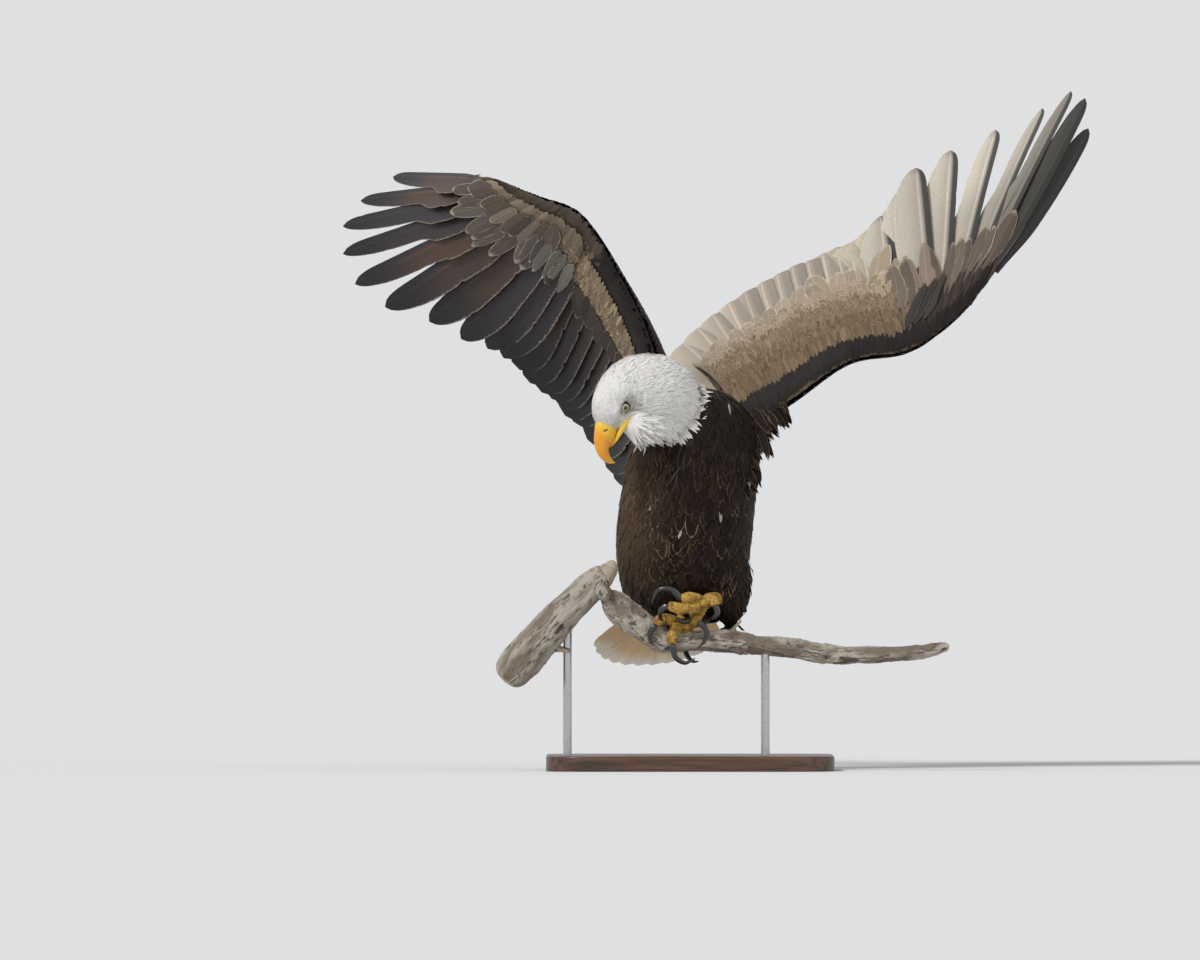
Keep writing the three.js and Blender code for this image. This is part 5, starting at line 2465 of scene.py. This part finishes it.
@dataclass(frozen=True)
class Bill:
    """The bill: the upper half with its hook, cere and nostrils, the lower half, and the yellow gape.

    Attributes:
        midline: the upper half's middle line, forward and up from the head's middle, in millimetres.
        widths: its half-widths.
        heights: its half-heights.
        lower_line: the lower half's middle line.
        lower_widths: its half-widths.
        lower_heights: its half-heights.
        gape_path: the left gape's middle line: distances forward, left and up.
        gape_girth: its half-widths and half-depths.
        nostril: the nostrils' place, forward and up.
        tilt: how steeply the nostrils rise forward.
        cere: colour of the bill's base.
        horn: colour of its front.
        hook: colour of its end.
        nostril_shade: painted shade in the nostrils, for the depth of the holes.
        brow: colour of the cere's hind edge.
        gape: colour of the gape.
    """

    midline: tuple = ((28, 2.5), (38, 2), (50, 0), (62, -3), (72, -8), (79, -17), (82, -28), (80, -39))
    widths: tuple = (14.5, 14.5, 13.6, 11.8, 9.8, 7.2, 4.2, 0.7)
    heights: tuple = (18.5, 18.3, 17, 14.5, 11, 8, 4.8, 0.7)
    lower_line: tuple = ((10, -15), (24, -16.2), (38, -18), (52, -18.6), (63, -18))
    lower_widths: tuple = (12, 13, 12, 8.6, 3)
    lower_heights: tuple = (4.5, 5.2, 5, 4.2, 2)
    gape_path: tuple = (
        (-5, 6, 18, 30, 42, 54), (21.5, 22.5, 20.8, 17.6, 14.4, 12), (-17.5, -18, -17.5, -16.5, -17, -18),
    )
    gape_girth: tuple = ((1.8, 3, 3.4, 3.4, 2.6, 1), (2, 3.6, 4.6, 4.4, 3.2, 1.2))
    nostril: tuple = (46.0, 6.5)
    tilt: float = 0.5
    cere: Colour = (0.84, 0.5, 0.03)
    horn: Colour = (0.8, 0.31, 0.012)
    hook: Colour = (0.85, 0.47, 0.06)
    nostril_shade: Colour = (0.03, 0.015, 0.005)
    brow: Colour = (0.5, 0.5, 0.14)
    gape: Colour = (0.82, 0.56, 0.035)

    def build(self) -> None:
        """Builds both halves and the gape."""
        material = BillFinish("bill_horn").make()
        upper = loft("bill_upper", self._upper, 56, 90)
        self._tint(upper, True)
        finish_piece(join([upper, *self._gapes()], "bill_upper"), material, "bill", "bill_upper")
        lower = loft("bill_lower", self._lower, 32, 40)
        self._tint(lower, False)
        finish_piece(lower, material, "bill", "bill_lower")

    def _at(self, midline: tuple, t: Array, width: Array, height: Array) -> Array:
        """Places points by a middle line.

        Args:
            midline: the middle line.
            t: places along it.
            width: distances to the left of it.
            height: distances above it, square to it.

        Returns:
            Their places forward, left and up.
        """
        centre, tangent = spline(midline, t), heading(midline, t)
        return np.stack([centre[:, 0] - tangent[:, 1] * height, width, centre[:, 1] + tangent[:, 0] * height])

    def _slot(self, forward: Array, up: Array, long: float, high: float) -> Array:
        """Measures how far places are from the nostrils.

        Args:
            forward: their distance forward.
            up: their distance up.
            long: half the nostril's length.
            high: half its height.

        Returns:
            The distances, 1 at the nostril's edge.
        """
        ahead = forward - self.nostril[0]
        return np.hypot(ahead / long, (up - self.nostril[1] - ahead * self.tilt) / high)

    def _upper(self, t: Array, angle: Array) -> Array:
        """Shapes the upper half: deep, with flat sides, a round ridge, and edges that dip in the middle.

        Args:
            t: places along it.
            angle: angles round it.

        Returns:
            Its surface.
        """
        rise, side = np.sin(angle), np.cos(angle)
        side = np.sign(side) * np.abs(side) ** 0.72
        narrow = 1 - 0.3 * np.clip(rise, 0, 1) ** 2 - 0.12 * np.clip(-rise, 0, 1)
        cere = 1 + 0.05 * smooth(t, 0.24, 0.2)
        wave = 1 + 0.07 * np.clip(-rise, 0, 1) * np.sin((t - 0.2) * 11)
        width = along(self.widths, t) * round_ends(t, 20) * side * narrow * cere
        height = along(self.heights, t) * round_ends(t, 20) * rise * wave * cere
        forward, width, up = self._at(self.midline, t, width, height)
        width = width - np.sign(width) * 2.2 * np.exp(-(self._slot(forward, up, 3.4, 1.7) ** 4))
        return HEAD.at(forward, width, up)

    def _lower(self, t: Array, angle: Array) -> Array:
        """Shapes the lower half: a shallow trough under the upper one.

        Args:
            t: places along it.
            angle: angles round it.

        Returns:
            Its surface.
        """
        width = along(self.lower_widths, t) * round_ends(t, 10) * np.cos(angle)
        height = along(self.lower_heights, t) * round_ends(t, 10) * np.sin(angle)
        return HEAD.at(*self._at(self.lower_line, t, width, height))

    def _gapes(self) -> list[Piece]:
        """Shapes the fleshy yellow edges of the mouth.

        Returns:
            One for each side.
        """
        gapes = [ridge("gape", side, self.gape_path, mm(*self.gape_girth), 20, 40) for side in Side]
        for gape in gapes:
            colour_points(gape, "tint", np.tile(np.array(self.gape), (len(gape.data.vertices), 1)))
        return gapes

    def _tint(self, half: Piece, upper: bool) -> None:
        """Colours one half from cere to hook.

        Args:
            half: the half.
            upper: whether it is the upper one.
        """
        forward, _, up = HEAD.inside(points_of(half)).T
        colour = mix(self.cere, self.horn, smooth(forward + up * 0.15, 46, 60)[:, None])
        colour = mix(colour, self.hook, (smooth(up, -14, -34) * 0.6)[:, None])
        if upper:
            slot = self._slot(forward, up, 3.0, 1.4)
            # Painted shade fills the nostrils, for the depth of the holes.
            colour = mix(colour, self.nostril_shade, smooth(slot, 1.3, 0.8)[:, None])
            colour = mix(colour, self.brow, (smooth(forward, 40, 33) * 0.6)[:, None])
        colour_points(half, "tint", colour)


def build_eyes() -> None:
    """Builds both eyes: each a glossy ball with its iris turned a little forward and down."""
    forward, left, up = HEAD.axes()
    for side in Side:
        gaze = unit(left * side.sign + forward * 0.28 - up * 0.06)
        middle = EYES[side]
        across = unit(np.cross(gaze, up))

        def place(t: Array, angle: Array) -> Array:
            """Places the eyeball's skin, with the cornea standing a little proud.

            Args:
                t: places from the back of the eye to its front.
                angle: angles round the sight line.

            Returns:
                The points.
            """
            ball = sphere(t, angle)
            proud = 1 + 0.035 * smooth(ball[:, 2], 0.78, 1)
            ball = ball * (EYE_RADIUS * proud)[:, None]
            return middle + ball[:, :1] * across + ball[:, 1:2] * np.cross(gaze, across) + ball[:, 2:] * gaze

        name = f"eye_{side.value}"
        finish = EyeFinish(name, tuple(middle), tuple(gaze), EYE_RADIUS)
        finish_piece(loft(name, place, 48, 32), finish.make(), "eye", name)


# ---------------- perch and stand


@dataclass(frozen=True)
class Timber:
    """A rough length of dead wood.

    Attributes:
        path: its middle line.
        radii: its radius along it, in millimetres.
        sides: faces round it.
        rings: faces along it.
        relief: depth of its bark, in millimetres.
        bare_from: place along it from which the bark is gone.
        cut: which ends are sawn.
        barks: the bark's dark and light colour.
        woods: the bare wood's light and dark colour.
        gap: colour of the cracks.
        sawn: colour of the sawn ends.
    """

    path: Array
    radii: tuple
    sides: int = 96
    rings: int = 320
    relief: float = 2.4
    bare_from: float = 2.0
    cut: tuple = (False, False)
    barks: tuple = ((0.2, 0.16, 0.125), (0.42, 0.375, 0.315))
    woods: tuple = ((0.6, 0.53, 0.43), (0.42, 0.35, 0.27))
    gap: Colour = (0.05, 0.035, 0.026)
    sawn: Colour = (0.55, 0.45, 0.33)

    def build(self, name: str) -> Piece:
        """Builds the length of wood.

        Args:
            name: the object's name.

        Returns:
            The wood, coloured.
        """
        radii = np.array(self.radii) * MM
        plain = tube(self.path, radii, radii, (0, 1, 0))
        length = np.linalg.norm(np.diff(self.path, axis=0), axis=1).sum()
        marks = {}

        def place(t: Array, angle: Array) -> Array:
            """Places the bark's surface, cracked along the wood.

            Args:
                t: places along it.
                angle: angles round it.

            Returns:
                The points.
            """
            middle = spline(self.path, t)
            radius = along(radii, t)
            run = t * length
            rough = np.empty((4, len(t)))
            for i, (x, a, r) in enumerate(zip(run, angle, radius)):
                y, z = math.cos(a) * r, math.sin(a) * r
                rough[:, i] = (
                    noise.fractal((x * 16, y * 110, z * 110), 0.9, 2.0, 4),
                    noise.noise((x * 13 + 7, y * 45, z * 45)),
                    noise.fractal((x * 110, y * 260, z * 260), 0.8, 2.0, 4),
                    noise.fractal((x * 34 + 3, y * 60, z * 60), 1.0, 2.0, 3),
                )
            vein, wave, grain, knob = rough
            crack = np.exp(-((vein / 0.06) ** 2)) * smooth(wave + knob, -0.5, 0.0)
            pit = smooth(knob, 0.62, 0.75)
            barked = 1 - smooth(t + wave * 0.2, self.bare_from - 0.03, self.bare_from + 0.03)
            crack = np.maximum(crack * barked, pit)
            depth = (wave * 2.0 + knob * 1.0 + grain * 0.4) * (0.4 + 0.6 * barked) - crack * 0.8
            depth = depth * self.relief * MM
            inside = np.clip(np.minimum(t, 1 - t) / 0.006, 0, 1)
            marks.update(t=t, crack=crack, barked=barked, blotch=wave + knob * 0.6)
            out = unit(plain(t, angle) - middle)
            return plain(t, angle) + out * (depth * inside)[:, None]

        obj = loft(name, place, self.sides, self.rings)
        bark = mix(*self.barks, smooth(marks["blotch"], -0.35, 0.35)[:, None])
        wood = mix(*self.woods, smooth(marks["blotch"], -0.4, 0.4)[:, None])
        colour = mix(wood, bark, marks["barked"][:, None])
        colour = mix(colour, self.gap, (marks["crack"] * 0.8)[:, None])
        for end, sawn in enumerate(self.cut):
            if sawn:
                colour = mix(colour, self.sawn, smooth(np.abs(marks["t"] - end), 0.012, 0.006)[:, None])
        colour_points(obj, "tint", colour)
        return obj


@dataclass(frozen=True)
class Perch:
    """A cut length of dead limb with a side branch, on which the bird lands.

    Attributes:
        limb: the limb.
        limb_parts: a spur and a knot on it.
        branch: the branch.
        branch_parts: a cut stub and a snag on it.
    """

    limb: Timber = Timber(
        mm((-296, -60, 141), (-232, -60, 219), (-156, -60, 296), (-131, -60, 318), (-121, -60, 335)),
        (31, 28, 22, 15, 7), 128, 360, bare_from=0.72, cut=(True, False),
    )
    limb_parts: tuple = (
        Timber(mm((-230, -60, 200), (-212, -64, 196), (-192, -66, 191)), (9, 6, 3), 32, 60, 1.2),
        Timber(mm((-142, -60, 292), (-136, -80, 284), (-130, -86, 276)), (13, 12, 8), 48, 60, 2.2),
    )
    branch: Timber = Timber(
        mm(
            (-136, -60, 284), (-108, -60, 254), (-72, -60, 228), (-40, -60, 208), (16, -60, 207),
            (76, -60, 205), (112, -60, 200), (176, -60, 192), (238, -60, 184), (304, -60, 184),
            (360, -60, 190), (414, -60, 200),
        ),
        (22, 24, 22, 18, 15, 18, 15, 15, 14, 13.5, 12, 11), 88, 560, 2.6, cut=(False, True),
    )
    branch_parts: tuple = (
        Timber(
            mm((-26, -60, 210), (-26, -74, 210), (-26, -90, 210)),
            (15, 15, 14), 48, 50, 1.0, cut=(False, True),
        ),
        Timber(mm((58, -60, 206), (66, -63, 224), (82, -66, 240)), (6, 3.4, 1.6), 24, 60, 0.8),
    )

    def build(self) -> None:
        """Builds the limb and the branch."""
        bark = BarkFinish("dead_bark").make()
        limb, branch = (self.limb, *self.limb_parts), (self.branch, *self.branch_parts)
        for name, group in (("perch_limb", limb), ("perch_branch", branch)):
            finish_piece(join([part.build("wood") for part in group], name), bark, "bark", name)


@dataclass(frozen=True)
class Stand:
    """The display stand: a round-cornered wooden base and two steel rods.

    Attributes:
        length: the base's length along the branch, in metres.
        width: its width.
        height: its height.
        corner: radius of its upright edges.
        edge: radius of its upper edges.
        sharp: angle of an edge that counts as sharp, in radians.
    """

    length: float = 0.46
    width: float = 0.34
    height: float = 0.024
    corner: float = 0.06
    edge: float = 0.003
    sharp: float = 0.6

    def build(self) -> None:
        """Builds the base and finishes the rods."""
        bpy.ops.object.select_all(action="DESELECT")
        bpy.ops.mesh.primitive_cube_add(size=1.0, location=(0, 0, self.height / 2))
        base = rename(bpy.context.object, "stand_base")
        base.scale = (self.length, self.width, self.height)
        bpy.ops.object.transform_apply(location=True, rotation=False, scale=True)
        self._round(base, lambda a, b: abs(a.z - b.z) > self.height / 2, self.corner, 16)
        self._round(base, lambda a, b: min(a.z, b.z) > self.height * 0.99, self.edge, 4)
        smooth_shade(base, 40)
        finish_piece(base, WoodFinish("oiled_wood").make(), "base_wood", "stand_base")
        steel = PlainFinish("brushed_steel", (0.55, 0.55, 0.56), 0.3, 1.0, 0.0, 0.03, 500.0).make()
        for side in Side:
            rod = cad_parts[f"stand_rod_{side.value}"]
            rod.data.materials.clear()
            rod.data.materials.append(steel)

    def _round(self, obj: Piece, wanted: Callable[[Vector, Vector], bool], radius: float, steps: int) -> None:
        """Rounds the sharp edges whose two ends pass a test.

        Args:
            obj: the piece.
            wanted: the test on the ends' places.
            radius: radius of the rounding, in metres.
            steps: faces round it.
        """
        with edit_mode(obj):
            bpy.ops.mesh.select_mode(type="EDGE")
            bpy.ops.mesh.select_all(action="DESELECT")
            shape = bmesh.from_edit_mesh(obj.data)
            for edge in shape.edges:
                ends = (corner.co for corner in edge.verts)
                edge.select = wanted(*ends) and edge.calc_face_angle(0) > self.sharp
            bmesh.update_edit_mesh(obj.data)
            bpy.ops.mesh.bevel(offset=radius, segments=steps, affect="EDGES")


# ---------------- studio


@dataclass(frozen=True)
class Studio:
    """A plain pale floor, soft light, and the camera.

    Attributes:
        aim: the middle of the picture, in metres.
        wide: the picture's width at the bird, in metres.
        lens: focal length in millimetres.
        pale: the floor's colour.
        sky: strength of the soft light from all round.
        sun: strength of the key light.
        fill: strength of the second lamp, as a share of the key's.
        turns: the two lamps' turns, in degrees.
        sensor: width of the camera's sensor, in millimetres.
    """

    aim: Point = (-0.144, 0.0, 0.464)
    wide: float = 1.92
    lens: float = 600.0
    pale: Colour = (0.8, 0.81, 0.82)
    sky: float = 0.42
    sun: float = 2.1
    fill: float = 0.14
    turns: tuple[Point, Point] = ((46, 0, -42), (66, 0, 55))
    sensor: float = 36.0

    def build(self) -> None:
        """Builds the floor, the lights, the backdrop's colour and the camera."""
        scene = bpy.context.scene
        scene.view_settings.view_transform = "Standard"
        bpy.ops.object.select_all(action="DESELECT")
        below = {"location": (0, 0, -0.0005)}
        bpy.ops.mesh.primitive_circle_add(vertices=96, radius=60.0, fill_type="NGON", **below)
        floor = rename(bpy.context.object, "floor")
        bpy.ops.object.transform_apply(location=True, rotation=False, scale=False)
        shader = Shader("pale_floor", Roughness=1.0, Specular_IOR_Level=0.0)
        shader.feed(Base_Color=self.pale)
        floor.data.materials.append(shader.material)
        self._light("key", self.sun, 16, self.turns[0])
        self._light("fill", self.sun * self.fill, 60, self.turns[1])
        self._world(scene)
        self._camera(scene)

    def _light(self, name: str, strength: float, spread: float, turn: Point) -> None:
        """Sets up one distant soft lamp.

        Args:
            name: its name.
            strength: its strength.
            spread: how wide it looks, in degrees.
            turn: its turn, in degrees.
        """
        lamp = bpy.data.lights.new(name, "SUN")
        lamp.energy = strength
        lamp.angle = math.radians(spread)
        obj = bpy.data.objects.new(name, lamp)
        obj.rotation_euler = [math.radians(a) for a in turn]
        bpy.context.scene.collection.objects.link(obj)

    def _world(self, scene: bpy.types.Scene) -> None:
        """Sets up even light from all round, and a backdrop of the floor's own shade.

        Args:
            scene: the scene.
        """
        world = bpy.data.worlds.new("studio")
        world.use_nodes = True
        scene.world = world
        nodes = Nodes(world.node_tree)
        nodes.tree.nodes.remove(nodes.tree.nodes["Background"])
        slopes = [math.cos(math.radians(turn[0])) for turn in self.turns]
        lit = self.sky + self.sun * (slopes[0] + self.fill * slopes[1]) / math.pi
        rays = (nodes.node("ShaderNodeLightPath", {}, out=ray) for ray in ("Is Camera Ray", "Is Glossy Ray"))
        either = nodes.node("ShaderNodeMath", {"operation": "MAXIMUM"}, *rays)
        soft = nodes.node("ShaderNodeBackground", {}, (1.0, 1.0, 1.0), self.sky)
        backdrop = nodes.node("ShaderNodeBackground", {}, tuple(c * lit for c in self.pale))
        blend = nodes.node("ShaderNodeMixShader", {}, either, soft, backdrop)
        nodes.put(nodes.tree.nodes["World Output"].inputs["Surface"], blend)

    def _camera(self, scene: bpy.types.Scene) -> None:
        """Sets up the camera, level, far off, and square to the bird's landing.

        Args:
            scene: the scene.
        """
        data = bpy.data.cameras.new("camera")
        data.lens = self.lens
        data.sensor_width = self.sensor
        data.clip_end = 200.0
        camera = bpy.data.objects.new("camera", data)
        camera.location = (self.aim[0], self.aim[1] - self.wide * self.lens / self.sensor, self.aim[2])
        camera.rotation_euler = (math.radians(90), 0, 0)
        scene.collection.objects.link(camera)
        scene.camera = camera


def main() -> None:
    """Builds the eagle, its perch and its stand."""
    rng = np.random.default_rng(20)
    skin = Skin()
    skin.build()
    Plumage(skin, rng).build()
    vane = VaneFinish("covert_vanes", edge=0.84, tip=0.9).make()
    quill = VaneFinish("flight_vanes", 0.42, edge=0.92, barbs=0.3, shaft=0.45, tip=0.985, gloss=0.3).make()
    for wing in WINGS:
        WingPlumage(wing, skin, rng).build(vane, quill)
    Tail(skin, rng).build(VaneFinish("tail_vanes", edge=0.95, barbs=0.2, shaft=-0.1, tip=0.97).make())
    Bill().build()
    build_eyes()
    claw = PlainFinish("black_claw", (0.018, 0.016, 0.018), 0.25, 0.0, 0.6, 0.08, 200.0).make()
    for foot in FEET:
        foot.dress_claws(claw)
    Perch().build()
    Stand().build()
    Studio().build()


if __name__ == "__main__":
    main()
